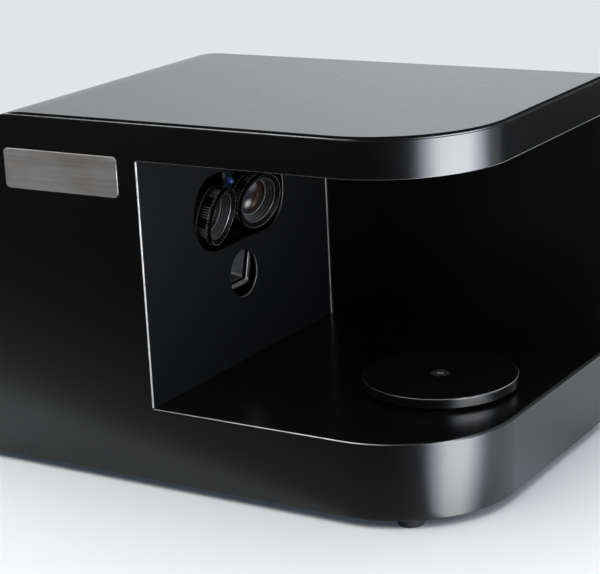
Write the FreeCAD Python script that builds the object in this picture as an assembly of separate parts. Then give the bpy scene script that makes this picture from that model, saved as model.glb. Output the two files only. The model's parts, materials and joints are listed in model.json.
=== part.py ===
import FreeCAD, Part
import math
import os

from FreeCAD import Placement, Rotation, Vector

# Desktop 3-D scanner: a C-shaped sheet-metal housing with an open scanning bay,
# a motor-driven turntable and a pitched stereo head (two lenses over a projector).
# Millimetres. +X right, +Y to the back, +Z up. Origin: centre of the footprint, on the table.

# ---------------------------------------------------------------- driving dimensions
# Housing
body_width = 374.0
body_depth = 225.0
body_height = 234.0
sheet = 2.0  # painted steel sheet
corner_radius = 77.0  # plan radius of the front right corner
shoulder_radius = 75.0  # bend from the left side into the top
bay_width = 213.5
base_height = 49.0  # base slab, under the bay
roof_height = 25.0  # top slab, over the bay
edge_radius = 1.6  # folded outer edges
edge_break = 0.5  # broken edges of the cut sheets
pan_flange = 14.0
pan_slots = 7  # cooling slots in the base pan
pan_slot_length = 40.0
pan_slot_width = 4.0
pan_slot_pitch = 12.0

# Clearances
fit_gap = 0.3  # between parts that are put together by hand
running_fit = 0.05  # radial, between a turning part and its seat
pocket_gap = 0.1  # around fixed screws and seated parts
overcut = 1.0  # cutting shapes run past the faces that they cut
tolerance = 0.01  # when edges are picked by their place

# Feet
foot_radius = 9.3
foot_height = 5.5
foot_taper = 1.2
foot_side_inset = 42.2
foot_front_inset = 20.5
foot_pocket = 2.5  # depth of the screw pocket
foot_pocket_margin = 1.0  # round the screw head

# Fasteners
screw_radius = 1.5
screw_head_radius = 2.9
screw_head = 1.6
cover_screw_head = 1.0  # lower heads on the rear cover
screw_tip = 2.0  # past the part that it holds

# Optics panel
slot_length = 108.0
slot_height = 51.0
slot_above_base = 107.8  # slot centre line above the bay floor
window_hole_diameter = 32.0
window_hole_above_base = 59.4

# Lenses
lens_spacing = 45.6  # between the two front rims
lens_rim_above_base = 103.8
lens_reach = 1.8  # front rims past the optics panel
lens_pitch = 13.0  # degrees, downwards
lens_crossing = 128.0  # from the front rims to where the two axes cross
lens_radius = 19.5
lens_length = 44.0
focus_ring_length = 11.6
focus_ring_wall = 3.6
focus_ring_taper = 1.2  # the ring is slimmer at its rear edge
rim_edge = 0.3  # rounding of the front rim
rim_bevel = 2.3  # depth of the bevel inside the front rim
groove_start = 2.2  # groove between the plain rim and the grip
groove_width = 0.8
groove_depth = 0.5
mouth_step = 0.7  # width of the barrel's front face
baffle_steps = 5
baffle_tooth = 0.3
glass_radius = 11.8
glass_recess = 8.0
glass_ring = 1.2  # retaining ring round the front glass
glass_seat = 3.0
glass_dome = 1.6
barrel_radius = 18.0
iris_ring_start = 20.0
iris_ring_length = 8.0
iris_ring_wall = 3.5
iris_lands = 8
iris_land_cut = 1.6
iris_land_offset = 0.9  # centre of each cut outside the ring
iris_edge = 0.5
tail_radius = 15.6
tail_length = 4.0
barrel_bore = 9.0
mount_radius = 12.7
mount_thread = 4.0

# Cameras
camera_size = 34.0
camera_length = 46.0
camera_gap = 3.0  # between lens tail and camera face, bridged by the collar
camera_collar_radius = 15.2
camera_socket_depth = 6.0
camera_edge = 1.5
camera_ribs = 5
camera_rib_start = 14.0
camera_rib_width = 2.0
camera_rib_pitch = 6.0
camera_rib_depth = 1.5
camera_rib_margin = 4.0
camera_port_width = 12.0
camera_port_height = 10.0
camera_port_depth = 3.0
wedge_width = 24.0
wedge_inset = 6.0  # wedge ends short of the camera's ends

# Optics bench
shelf_thickness = 5.0
shelf_above_base = 91.5
shelf_corner = 5.0
bench_start = 32.0  # behind the optics panel
bench_from_left = 36.5
bench_end_gap = 34.5  # from the inside of the front and back sheets
bench_leg = 5.0
leg_inset = 6.0  # legs are shorter than the shelf
leg_flange = 14.0
leg_window_margin = 14.0
leg_window_above_pan = 26.0
leg_window_below_shelf = 20.0
leg_window_corner = 5.0

# Projector
projector_pitch = 9.5  # degrees, downwards
projector_setback = 3.6  # hood mouth behind the optics panel's rear face
hood_width = 33.2
hood_height = 29.0
hood_rise = 3.1  # middle of the hood over the projector's axis
hood_length = 14.0
hood_wall = 2.4
hood_bevel = 1.6
hood_groove_width = 2.6
hood_groove_depth = 1.6
hood_flange = 4.0  # round the rear end
hood_flange_thickness = 2.0
window_thickness = 2.0
window_lip = 0.8  # pane past the bore, all round
projector_width = 78.0
projector_height = 38.0
projector_rise = 12.0  # top of the light engine over its axis
projector_length = 78.0
projector_edge = 2.0
projector_ribs = 8
projector_rib_start = 16.0
projector_rib_width = 3.0
projector_rib_pitch = 8.0
projector_rib_depth = 3.0
projector_rib_margin = 6.0
projector_lens_radius = 8.8
projector_lens_length = 12.0
projector_lens_chamfer = 1.5
projector_lens_face = 2.0  # width of the lens mount's front face
projector_lens_recess = 2.5
projector_lens_dome = 1.5
hanger_wall = 2.5
hanger_start = 26.0  # behind the front of the light engine
hanger_end = 8.0  # before its rear

# Status lamp
lamp_radius = 2.5
lamp_length = 4.0
lamp_setback = 10.6  # rear of the lamp behind the panel face
lamp_rise = 14.3  # over the slot centre
lamp_strip = 1.5
lamp_strip_width = 10.0
lamp_strip_gap = 3.0  # bracket above the slot
lamp_overhang = 0.2  # lamp base past the strip

# Turntable
turntable_diameter = 100.0
turntable_thickness = 6.0
turntable_gap = 2.6  # under the disc
turntable_edge = 0.8
turntable_from_panel = 146.0
hub_radius = 18.0
hub_thickness = 4.0
hub_hole_gap = 2.0
disc_screw_radius = 2.9
disc_screw_hole = 3.0
disc_screw_head_radius = 6.0
disc_screw_sink = 3.0
disc_screw_length = 18.0
disc_screw_socket_radius = 1.8
disc_screw_socket_depth = 1.6
spindle_radius = 6.0
spindle_collar = 3.0  # shoulder on the upper bearing
spindle_end = 12.0  # lower end above the table
bearing_outer_radius = 16.0
bearing_width = 10.0
bearing_ridge = 2.0  # between the two bearings
bearing_ridge_height = 2.5
bearing_ring = 2.6  # width of each ring's face
bearing_groove = 0.8
bearing_cover = 1.0  # upper bearing below the bay floor
bearing_wall = 6.0
bearing_flange_radius = 34.0
bearing_flange_thickness = 4.0
bearing_web = 3.0
bearing_web_drop = 6.0  # webs end above the lower rim of the sleeve
bearing_screw_inset = 5.0

# Drive
belt_pitch = 2.0
driven_teeth = 80
motor_teeth = 20
tooth_radius = 0.5
pulley_width = 7.0
pulley_flange = 1.0
pulley_flange_rim = 1.6
pulley_hub_wall = 3.5
pulley_level = 12.5  # lower face of the pulleys above the table
belt_thickness = 1.4
belt_gap = 0.15
belt_side_gap = 0.5
motor_distance = 74.0
motor_size = 42.0
motor_height = 24.0
motor_chamfer = 4.0
motor_cap = 6.0  # height of each end cap
motor_core_inset = 0.6
motor_core_corner = 6.0
motor_pilot_radius = 11.0
motor_pilot_height = 1.8
motor_shaft_radius = 2.5
motor_shaft_cover = 8.0  # shaft ends below the motor's top
motor_over_pulley = 2.5
motor_plate = 3.0
motor_side_room = 9.0  # between motor and bracket walls
motor_tab = 8.0
motor_screw_reach = 15.5

# Back
access_side = 22.25  # from the left side and from the bay wall
access_above_bottom = 24.0
access_below_top = 34.0
access_corner = 10.0
cover_gap = 0.4
cover_ledge = 8.0
cover_screw_inset = 12.0  # from the ends of the opening
fan_size = 60.0
fan_depth = 15.0
fan_drop = 60.0  # fan centre under the top of the opening
fan_corner = 4.0
fan_wall = 2.0
fan_hub_radius = 13.0
fan_carrier = 2.0
fan_arm = 3.0
fan_arm_angle = 30.0
fan_screw_hole = 2.0
fan_screw_inset = 4.0
fan_blades = 7
fan_blade = 1.4
fan_blade_chord = 10.0
fan_blade_angle = 38.0
fan_tip_gap = 1.2
fan_rotor_gap = 0.6
fan_pin_radius = 1.5
vent_slot = 3.0
vent_pitch = 7.0
vent_margin = 2.4  # vents stay inside the fan's frame
socket_above_opening = 26.0  # socket centres over the opening's lower edge
inlet_width = 27.0
inlet_height = 20.0
inlet_depth = 22.0
inlet_wall = 2.0
inlet_floor = 4.0
inlet_corner = 2.0
inlet_chamfer = 3.5
inlet_pin = 2.0
inlet_pin_height = 4.0
inlet_pin_spacing = 5.5
inlet_pin_rise = 1.8
inlet_pin_setback = 5.0
socket_flange = 1.0  # thickness of the flanges on the rear cover
socket_rim = 2.0  # flanges past the cut-outs
switch_width = 20.0
switch_height = 15.0
switch_depth = 16.0
switch_well = 9.0
switch_wall = 1.5
switch_pin_radius = 1.0
switch_pin_depth = 4.0
switch_pin_end = 1.0
switch_throw = 16.0  # degrees between off and on
rocker_top = 2.6
rocker_dip = 0.7
rocker_bottom = 2.4
rocker_taper = 1.2
usb_width = 12.0
usb_height = 11.0
usb_depth = 16.0
usb_wall = 1.6
usb_floor = 4.0
usb_chamfer = 2.0
usb_tongue_width = 5.6
usb_tongue_height = 3.2
usb_tongue_setback = 3.0

# Nameplate
plate_width = 88.4
plate_height = 25.7
plate_thickness = 1.0
plate_corner = 3.0
plate_edge = 0.3
plate_from_bay = 14.5
plate_from_top = 23.5

# Electronics
electronics_from_left = 26.0
board_length = 96.0
board_width = 58.0
board_thickness = 1.6
board_standoff = 6.0
board_gap = 4.0  # between the board and the bench leg
board_hole_inset = 4.0
standoff_radius = 3.0
connector_length = 14.0
connector_width = 7.0
connector_height = 8.0
connector_inset = 2.0
connector_pitch = 20.0
connector_count = 4
chip_size = 18.0
chip_height = 2.5
capacitor_radius = 4.0
capacitor_height = 11.0
capacitor_pitch = 12.0
capacitor_count = 3
supply_length = 98.0
supply_width = 54.0
supply_height = 30.0
supply_gap = 4.0  # behind the middle of the housing
supply_edge = 1.0
supply_slots = 8
supply_slot_width = 4.0
supply_slot_pitch = 9.0
supply_slot_margin = 8.0
supply_slot_depth = 2.0

# ---------------------------------------------------------------- places
bottom = foot_height
top = bottom + body_height
left = -body_width / 2
right = body_width / 2
front = -body_depth / 2
back = body_depth / 2
bay_wall = right - bay_width
panel_rear = bay_wall - sheet
floor_level = bottom + base_height
ceiling_level = top - roof_height
bay_back = back - sheet
bay_middle = (front + bay_back) / 2
column_middle = (left + bay_wall) / 2
pan_top = bottom + sheet
under_floor = floor_level - sheet
table_x = bay_wall + turntable_from_panel
motor_x = table_x - motor_distance
disc_underside = floor_level + turntable_gap
disc_top = disc_underside + turntable_thickness
slot_level = floor_level + slot_above_base
hole_level = floor_level + window_hole_above_base
rim_level = floor_level + lens_rim_above_base
lamp_x = bay_wall - lamp_setback
lamp_level = slot_level + lamp_rise
shelf_level = floor_level + shelf_above_base
shelf_bottom = shelf_level - shelf_thickness
bench_front = bay_wall - bench_start
bench_rear = left + bench_from_left
bench_half = bay_middle - front - sheet - bench_end_gap
lens_yaw = math.degrees(math.atan2(lens_spacing / 2, lens_crossing))
camera_face = -lens_length - camera_gap
upper_bearing_level = under_floor - bearing_cover - bearing_width
lower_bearing_level = upper_bearing_level - bearing_ridge - bearing_width
pulley_top = pulley_level + pulley_width + 2 * pulley_flange
motor_face = pulley_top + motor_over_pulley + motor_plate
access_left = left + access_side
access_right = bay_wall - access_side
access_low = bottom + access_above_bottom
access_high = top - access_below_top
socket_row = access_right - access_left - 2 * cover_ledge
socket_room = (socket_row - inlet_width - switch_width - usb_width) / 4
inlet_x = access_left + cover_ledge + socket_room + inlet_width / 2
switch_x = inlet_x + inlet_width / 2 + socket_room + switch_width / 2
usb_x = access_right - cover_ledge - socket_room - usb_width / 2
socket_level = access_low + socket_above_opening
fan_x = (access_left + access_right) / 2
fan_level = access_high - fan_drop
fan_front = back - sheet - cover_gap - fan_depth
electronics_left = left + electronics_from_left
board_front = bay_middle - bench_half + bench_leg + board_gap
board_level = pan_top + board_standoff
supply_front = bay_middle + supply_gap
clear = body_width  # longer than any part of the object


# ---------------------------------------------------------------- shape helpers
def box(x0, x1, y0, y1, z0, z1):
    low = Vector(min(x0, x1), min(y0, y1), min(z0, z1))
    return Part.makeBox(abs(x1 - x0), abs(y1 - y0), abs(z1 - z0), low)


def rod(start, axis, radius, length):
    return Part.makeCylinder(radius, length, Vector(*start), Vector(*axis))


def upright(x, y, z, radius, height):
    """Vertical cylinder standing on a level."""
    return rod((x, y, z), (0, 0, 1), radius, height)


def on_table_axis(z, radius, height):
    return upright(table_x, bay_middle, z, radius, height)


def line(a, b):
    return Part.LineSegment(Vector(*a, 0), Vector(*b, 0)).toShape()


def arc_between(start, centre, radius, angle, end):
    """Arc from start to end, through the point of the circle at an angle."""
    middle = Vector(
        centre[0] + radius * math.cos(math.radians(angle)),
        centre[1] + radius * math.sin(math.radians(angle)),
        0,
    )
    return Part.Arc(Vector(*start, 0), middle, Vector(*end, 0)).toShape()


def flat_plate(edges, thickness):
    """Prism along +Z of a closed outline drawn on Z = 0."""
    return Part.Face(Part.Wire(edges)).extrude(Vector(0, 0, thickness))


def rounded_plate(width, height, radius, thickness):
    """Prism along +Z of a centred rounded rectangle."""
    block = box(-width / 2, width / 2, -height / 2, height / 2, 0, thickness)
    corners = [e for e in block.Edges if runs_along(e, "z")]
    return block.makeFillet(radius, corners)


def obround(length, height, thickness):
    """Prism along +Z of a centred slot with round ends, its length along X."""
    radius = height / 2
    reach = length / 2 - radius
    edges = [
        line((-reach, -radius), (reach, -radius)),
        arc_between((reach, -radius), (reach, 0), radius, 0, (reach, radius)),
        line((reach, radius), (-reach, radius)),
        arc_between((-reach, radius), (-reach, 0), radius, 180, (-reach, -radius)),
    ]
    return flat_plate(edges, thickness)


def facing(shape, direction, origin):
    """Turns a shape drawn on Z = 0 so that its +Z looks along a direction, +X stays level."""
    stand_up = Rotation(Vector(1, 0, 0), 90)
    turns = {
        "front": stand_up,
        "back": Rotation(Vector(0, 0, 1), 180).multiply(stand_up),
        "right": Rotation(Vector(0, 0, 1), 90).multiply(stand_up),
    }
    moved = shape.copy()
    moved.Placement = Placement(Vector(*origin), turns[direction])
    return moved


def in_frame(shape, placement):
    """Moves a shape from its own frame into the frame of the object."""
    moved = shape.copy()
    moved.Placement = placement.multiply(shape.Placement)
    return moved


def turned(points):
    """Solid of revolution round X of (x, radius) points."""
    wire = Part.makePolygon([Vector(x, 0, radius) for x, radius in points + points[:1]])
    return Part.Face(wire).revolve(Vector(0, 0, 0), Vector(1, 0, 0), 360)


def join(shapes):
    whole = shapes[0]
    for shape in shapes[1:]:
        whole = whole.fuse(shape)
    return whole.removeSplitter()


def cut_all(shape, cuts):
    for one in cuts:
        shape = shape.cut(one)
    return shape


def group(shapes):
    """Separate solids that share one node."""
    return Part.makeCompound(shapes)


def runs_along(edge, axis):
    """Whether a straight edge is parallel to an axis."""
    b = edge.BoundBox
    spans = {"x": b.XLength, "y": b.YLength, "z": b.ZLength}
    along = spans.pop(axis)
    return along > tolerance and max(spans.values()) < tolerance


def flat_at(edge, level):
    """Whether an edge lies at one height."""
    b = edge.BoundBox
    return abs(b.ZMin - level) < tolerance and abs(b.ZMax - level) < tolerance


def soften(shape, radius, chosen):
    """Rounds the edges that a test picks."""
    return shape.makeFillet(radius, [e for e in shape.Edges if chosen(e)])


def chamfer(shape, size, chosen):
    """Bevels the edges that a test picks."""
    return shape.makeChamfer(size, [e for e in shape.Edges if chosen(e)])


def screw(x, y, z, axis, grip, head_height=screw_head):
    """Screw along an axis: its head ends at a point, its shank goes on from there."""
    away = Vector(*axis)
    head_start = Vector(x, y, z) - away * head_height
    head = Part.makeCylinder(screw_head_radius, head_height, head_start, away)
    shank = Part.makeCylinder(screw_radius, grip, Vector(x, y, z), away)
    return join([head, shank])


def screw_hole(x, y, z, axis, depth):
    """Clearance hole for a screw, run past both ends of its depth."""
    start = Vector(x, y, z) - Vector(*axis) * overcut
    return rod(start, axis, screw_radius + pocket_gap, depth + 2 * overcut)


def save(name, shape):
    os.makedirs("parts", exist_ok=True)
    shape.exportStep("parts/" + name + ".step")


# ---------------------------------------------------------------- housing outlines
def plan_prism(inset, z0, z1, x0=None, y1=None):
    """Plan of the housing, with its large front right corner, inset evenly on all sides."""
    low_x = left + inset if x0 is None else x0
    high_y = back - inset if y1 is None else y1
    low_y = front + inset
    high_x = right - inset
    centre = (right - corner_radius, front + corner_radius)
    radius = corner_radius - inset
    edges = [
        line((low_x, low_y), (centre[0], low_y)),
        arc_between((centre[0], low_y), centre, radius, -45, (high_x, centre[1])),
        line((high_x, centre[1]), (high_x, high_y)),
        line((high_x, high_y), (low_x, high_y)),
        line((low_x, high_y), (low_x, low_y)),
    ]
    prism = flat_plate(edges, z1 - z0)
    prism.translate(Vector(0, 0, z0))
    return prism


def profile_prism(inset, y0, y1, z0):
    """Front view of the housing, with its large top left shoulder, run from y0 to y1."""
    high_z = top - inset
    low_x = left + inset
    high_x = right - inset
    centre = (left + shoulder_radius, top - shoulder_radius)
    radius = shoulder_radius - inset
    edges = [
        line((low_x, z0), (high_x, z0)),
        line((high_x, z0), (high_x, high_z)),
        line((high_x, high_z), (centre[0], high_z)),
        arc_between((centre[0], high_z), centre, radius, 135, (low_x, centre[1])),
        line((low_x, centre[1]), (low_x, z0)),
    ]
    return facing(flat_plate(edges, y1 - y0), "front", (0, y1, 0))


def bay_space():
    return box(bay_wall, clear, -clear, clear, floor_level, ceiling_level)


def inside_cover():
    """Everything inside the bent sheet: the profile, and the full height right of the shoulder."""
    inner = profile_prism(sheet, front - overcut, back + overcut, bottom - overcut)
    beyond = box(left + shoulder_radius, right + overcut, front - overcut, back + overcut,
                 bottom - overcut, top - sheet)
    return inner.fuse(beyond)


def on_open_side(edge):
    """Whether an edge of the outline lies at the front, on the large corner or at the right."""
    b = edge.BoundBox
    return b.YMax < front + corner_radius + tolerance or b.XMin > right - tolerance


# ---------------------------------------------------------------- housing
def top_cover():
    """Left side and top in one bent sheet, its outer edge rounded over the front."""
    block = profile_prism(0, front, back, bottom).common(plan_prism(0, bottom, top))

    def upper_outline(edge):
        b = edge.BoundBox
        from_top = b.ZMax > top - tolerance and b.ZMin > top - shoulder_radius - tolerance
        return from_top and on_open_side(edge)

    return soften(block, edge_radius, upper_outline).cut(inside_cover())


def front_housing():
    """Front plate and the two bands that run round the front right corner."""
    block = plan_prism(0, bottom, top - sheet, left + sheet).common(inside_cover())
    hollow = plan_prism(sheet, bottom - overcut, top, left - overcut, back + overcut)
    band = cut_all(block, [hollow, bay_space()])

    def lip(edge):
        b = edge.BoundBox
        outside = b.YMin < front + tolerance or b.XMax > right - tolerance
        level = any(flat_at(edge, z) for z in (bottom, ceiling_level, top - sheet))
        right_of_shoulder = b.XMax > left + shoulder_radius + tolerance
        at_bay_wall = abs(b.XMin - bay_wall) < tolerance
        bay_upright = runs_along(edge, "z") and at_bay_wall and b.YMax < front + tolerance
        return (outside and level and right_of_shoulder) or bay_upright

    floor_step = box(bay_wall, right + overcut, front - overcut, back, under_floor, floor_level)
    return soften(band, edge_break, lip).cut(floor_step)


def bay_floor():
    plate = plan_prism(0, under_floor, floor_level, bay_wall, bay_back)

    def upper_outline(edge):
        right_of_wall = edge.BoundBox.XMax > bay_wall + tolerance
        return flat_at(edge, floor_level) and on_open_side(edge) and right_of_wall

    hub_hole = on_table_axis(under_floor - overcut, hub_radius + hub_hole_gap,
                             sheet + 2 * overcut)
    return soften(plate, edge_radius, upper_outline).cut(hub_hole)


def bay_ceiling():
    return plan_prism(sheet, ceiling_level, ceiling_level + sheet, bay_wall, bay_back)


def optics_panel():
    """Left wall of the bay, with the lens slot and the projector hole."""
    plate = box(panel_rear, bay_wall, front + sheet, bay_back, under_floor,
                ceiling_level + sheet)
    depth = sheet + 2 * overcut
    slot = facing(obround(slot_length, slot_height, depth), "right",
                  (panel_rear - overcut, bay_middle, slot_level))
    hole = rod((panel_rear - overcut, bay_middle, hole_level), (1, 0, 0),
               window_hole_diameter / 2, depth)
    outer = plate.BoundBox

    def rim(edge):
        b = edge.BoundBox
        on_face = b.XMin > bay_wall - tolerance
        inside = b.YMin > outer.YMin + tolerance and b.YMax < outer.YMax - tolerance
        return on_face and inside

    return soften(cut_all(plate, [slot, hole]), edge_break, rim)


def base_pan():
    """Bottom plate with an upright flange all round, inside the housing."""
    inset = sheet + fit_gap
    outer = plan_prism(inset, bottom, bottom + pan_flange)
    hollow = plan_prism(inset + sheet, pan_top, bottom + pan_flange + overcut)
    cuts = [hollow]
    for i in range(pan_slots):
        slot = obround(pan_slot_length, pan_slot_width, sheet + 2 * overcut)
        y = bay_middle + (i - (pan_slots - 1) / 2) * pan_slot_pitch
        slot.translate(Vector(column_middle, y, bottom - overcut))
        cuts.append(slot)
    for x, y in foot_places():
        cuts.append(screw_hole(x, y, bottom, (0, 0, 1), sheet))
    return cut_all(outer, cuts)


def access_block(grow, y0, y1):
    """Rounded block with the outline of the rear opening, made larger or smaller all round."""
    width = access_right - access_left + 2 * grow
    height = access_high - access_low + 2 * grow
    plate = rounded_plate(width, height, access_corner + grow, y1 - y0)
    return facing(plate, "front", (fan_x, y1, (access_low + access_high) / 2))


def back_panel():
    """Fixed back sheet, which also closes the bay, with a ledge behind the access opening."""
    block = box(left + sheet, right, back - sheet, back, bottom, top - sheet)
    block = block.common(inside_cover())
    for z0, z1 in ((bottom - overcut, under_floor), (ceiling_level, top)):
        band_end = box(right - sheet, right + overcut, back - sheet - overcut, back + overcut,
                       z0, z1)
        block = block.cut(band_end)
    opening = access_block(0, back - sheet - overcut, back + overcut)
    ledge_outer = access_block(cover_ledge / 2, back - 2 * sheet, back - sheet)
    ledge_inner = access_block(-cover_ledge, back - 3 * sheet, back)
    panel = join([block.cut(opening), ledge_outer.cut(ledge_inner)])
    holes = [screw_hole(x, back, z, (0, -1, 0), 2 * sheet) for x, z in rear_screw_places()]
    return cut_all(panel, holes)


def rear_screw_places():
    inset = cover_ledge / 2
    levels = [access_low + cover_screw_inset, (access_low + access_high) / 2,
              access_high - cover_screw_inset]
    return [(x, z) for x in (access_left + inset, access_right - inset) for z in levels]


def rear_cover():
    """Removable cover with the fan's vents and the sockets' cut-outs."""
    plate = access_block(-cover_gap, back - sheet, back)
    depth = sheet + 2 * overcut
    cuts = [screw_hole(x, back, z, (0, -1, 0), sheet) for x, z in rear_screw_places()]
    reach = fan_size / 2 - vent_margin
    slots = int(2 * (reach - vent_pitch / 2) / vent_pitch)
    for i in range(slots):
        rise = (i - (slots - 1) / 2) * vent_pitch
        half = math.sqrt(reach ** 2 - rise ** 2)
        cuts.append(facing(obround(2 * half, vent_slot, depth), "front",
                           (fan_x, back + overcut, fan_level + rise)))
    for width, height, x in socket_cutouts():
        hole = box(x - width / 2 - fit_gap, x + width / 2 + fit_gap, back - sheet - overcut,
                   back + overcut, socket_level - height / 2 - fit_gap,
                   socket_level + height / 2 + fit_gap)
        cuts.append(hole)
    return cut_all(plate, cuts)


def socket_cutouts():
    """Width, height and centre of each cut-out in the rear cover."""
    return [
        (inlet_width - 2 * socket_rim, inlet_height - 2 * socket_rim, inlet_x),
        (switch_width - 2 * socket_rim, switch_height - 2 * socket_rim, switch_x),
        (usb_width, usb_height, usb_x),
    ]


def rear_cover_screws():
    return group([screw(x, back, z, (0, -1, 0), 2 * sheet, cover_screw_head)
                  for x, z in rear_screw_places()])


# ---------------------------------------------------------------- feet and nameplate
def foot_places():
    x = right - foot_side_inset
    y = front + foot_front_inset
    return [(-x, y), (x, y), (-x, -y), (x, -y)]


def foot(x, y):
    """Tapered rubber foot with a pocket for its screw."""
    body = Part.makeCone(foot_radius - foot_taper, foot_radius, foot_height, Vector(x, y, 0))
    pocket = upright(x, y, -overcut, screw_head_radius + foot_pocket_margin,
                     foot_pocket + overcut)
    return cut_all(body, [pocket, screw_hole(x, y, 0, (0, 0, 1), foot_height)])


def foot_screws():
    grip = pan_top + screw_tip - foot_pocket
    return group([screw(x, y, foot_pocket, (0, 0, 1), grip) for x, y in foot_places()])


def nameplate():
    """Bare plate on the front, left of the bay."""
    plate = rounded_plate(plate_width, plate_height, plate_corner, plate_thickness)
    plate = soften(plate, plate_edge, lambda e: flat_at(e, plate_thickness))
    x = bay_wall - plate_from_bay - plate_width / 2
    z = top - plate_from_top - plate_height / 2
    return facing(plate, "front", (x, front, z))


# ---------------------------------------------------------------- lenses and cameras
def lens_frame(side):
    """Frame of a lens: its origin is the centre of the front rim, its +X looks out of it."""
    yaw = Rotation(Vector(0, 0, 1), -side * lens_yaw)
    pitch = Rotation(Vector(0, 1, 0), lens_pitch)
    place = Vector(bay_wall + lens_reach, bay_middle + side * lens_spacing / 2, rim_level)
    return Placement(place, yaw.multiply(pitch))


def lens_barrel():
    """Barrel with a baffled front recess, seats for both rings and the mount thread."""
    focus_seat = lens_radius - focus_ring_wall
    iris_seat = barrel_radius - iris_ring_wall
    iris_front = -iris_ring_start + fit_gap
    iris_rear = -iris_ring_start - iris_ring_length - fit_gap
    focus_rear = -focus_ring_length - fit_gap
    tail_start = -lens_length + tail_length
    glass_rear = -glass_recess - glass_seat
    profile = [
        (-rim_bevel, focus_seat),
        (focus_rear, focus_seat),
        (focus_rear, barrel_radius),
        (iris_front, barrel_radius),
        (iris_front, iris_seat),
        (iris_rear, iris_seat),
        (iris_rear, barrel_radius),
        (tail_start, tail_radius),
        (-lens_length, tail_radius),
        (-lens_length, mount_radius),
        (-lens_length - mount_thread, mount_radius),
        (-lens_length - mount_thread, barrel_bore),
        (glass_rear, barrel_bore),
        (glass_rear, glass_radius),
        (-glass_recess, glass_radius),
    ]
    return turned(profile + baffles(focus_seat - mouth_step))


def baffles(mouth_radius):
    """Sawtooth profile from the glass out to the mouth of the barrel."""
    ring_radius = glass_radius + glass_ring
    depth = (glass_recess - rim_bevel) / baffle_steps
    climb = (mouth_radius - ring_radius) / baffle_steps
    points = []
    for i in range(baffle_steps):
        x = -glass_recess + i * depth
        radius = ring_radius + i * climb
        points.append((x, radius))
        points.append((x + depth, radius + baffle_tooth))
    return points


def focus_ring():
    """Front ring: bevelled plain rim, groove, and a grip that tapers to its rear edge."""
    seat = lens_radius - focus_ring_wall + running_fit
    rear_radius = lens_radius - focus_ring_taper
    groove_radius = lens_radius - groove_depth
    groove_end = groove_start + groove_width
    profile = [
        (-rim_bevel, seat),
        (0, lens_radius - 2 * rim_edge),
        (0, lens_radius - rim_edge),
        (-rim_edge, lens_radius),
        (-groove_start, lens_radius),
        (-groove_start, groove_radius),
        (-groove_end, groove_radius),
        (-groove_end, lens_radius),
        (-focus_ring_length + rim_edge, rear_radius),
        (-focus_ring_length, rear_radius - rim_edge),
        (-focus_ring_length, seat),
    ]
    return turned(profile)


def iris_ring():
    """Aperture ring with grip lands."""
    seat = barrel_radius - iris_ring_wall + running_fit
    start = -iris_ring_start
    end = start - iris_ring_length
    profile = [
        (start, seat),
        (start, barrel_radius - iris_edge),
        (start - iris_edge, barrel_radius),
        (end + iris_edge, barrel_radius),
        (end, barrel_radius - iris_edge),
        (end, seat),
    ]
    cuts = []
    for i in range(iris_lands):
        angle = 2 * math.pi * (i + 0.5) / iris_lands
        reach = barrel_radius + iris_land_offset
        middle = (end - overcut, reach * math.cos(angle), reach * math.sin(angle))
        cuts.append(rod(middle, (1, 0, 0), iris_land_cut, iris_ring_length + 2 * overcut))
    return cut_all(turned(profile), cuts)


def front_glass():
    """Front element, domed, in the recess of the barrel."""
    radius = glass_radius - running_fit
    rear = -glass_recess - glass_seat
    disc = rod((rear, 0, 0), (1, 0, 0), radius, glass_seat)
    sphere_radius = (glass_radius ** 2 + glass_dome ** 2) / (2 * glass_dome)
    ball = Part.makeSphere(sphere_radius, Vector(-glass_recess - sphere_radius, 0, 0))
    return disc.common(ball)


def camera():
    """Cube camera with a mount collar and cooling ribs."""
    half = camera_size / 2
    rear = camera_face - camera_length
    body = box(rear, camera_face, -half, half, -half, half)
    body = soften(body, camera_edge, lambda e: runs_along(e, "x"))
    collar = rod((camera_face, 0, 0), (1, 0, 0), camera_collar_radius, camera_gap - fit_gap)
    socket_end = -lens_length - mount_thread - fit_gap
    cuts = [rod((socket_end, 0, 0), (1, 0, 0), mount_radius + pocket_gap, camera_socket_depth)]
    for i in range(camera_ribs):
        x = camera_face - camera_rib_start - i * camera_rib_pitch
        inner = half - camera_rib_margin
        cuts.append(box(x, x + camera_rib_width, -inner, inner, half - camera_rib_depth,
                        half + overcut))
    cuts.append(box(rear - overcut, rear + camera_port_depth, -camera_port_width / 2,
                    camera_port_width / 2, -camera_port_height / 2, camera_port_height / 2))
    return cut_all(join([body, collar]), cuts)


def camera_wedge(side):
    """Angled block that carries one camera on the shelf."""
    placement = lens_frame(side)
    half = camera_size / 2
    length = camera_length - 2 * wedge_inset
    middle = placement.multVec(Vector(camera_face - camera_length / 2, 0, -half))
    block = box(-length / 2, length / 2, -wedge_width / 2, wedge_width / 2, shelf_level,
                middle.z + camera_size)
    yaw = Rotation(Vector(0, 0, 1), -side * lens_yaw)
    block.Placement = Placement(Vector(middle.x, middle.y, 0), yaw)
    above = box(-clear, clear, -clear, clear, -half, clear)
    return block.cut(in_frame(above, placement))


def optics_shelf():
    """Shelf that carries both cameras, on the two side legs."""
    plate = box(bench_rear, bench_front, bay_middle - bench_half, bay_middle + bench_half,
                shelf_bottom, shelf_level)
    return soften(plate, shelf_corner, lambda e: runs_along(e, "z"))


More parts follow.
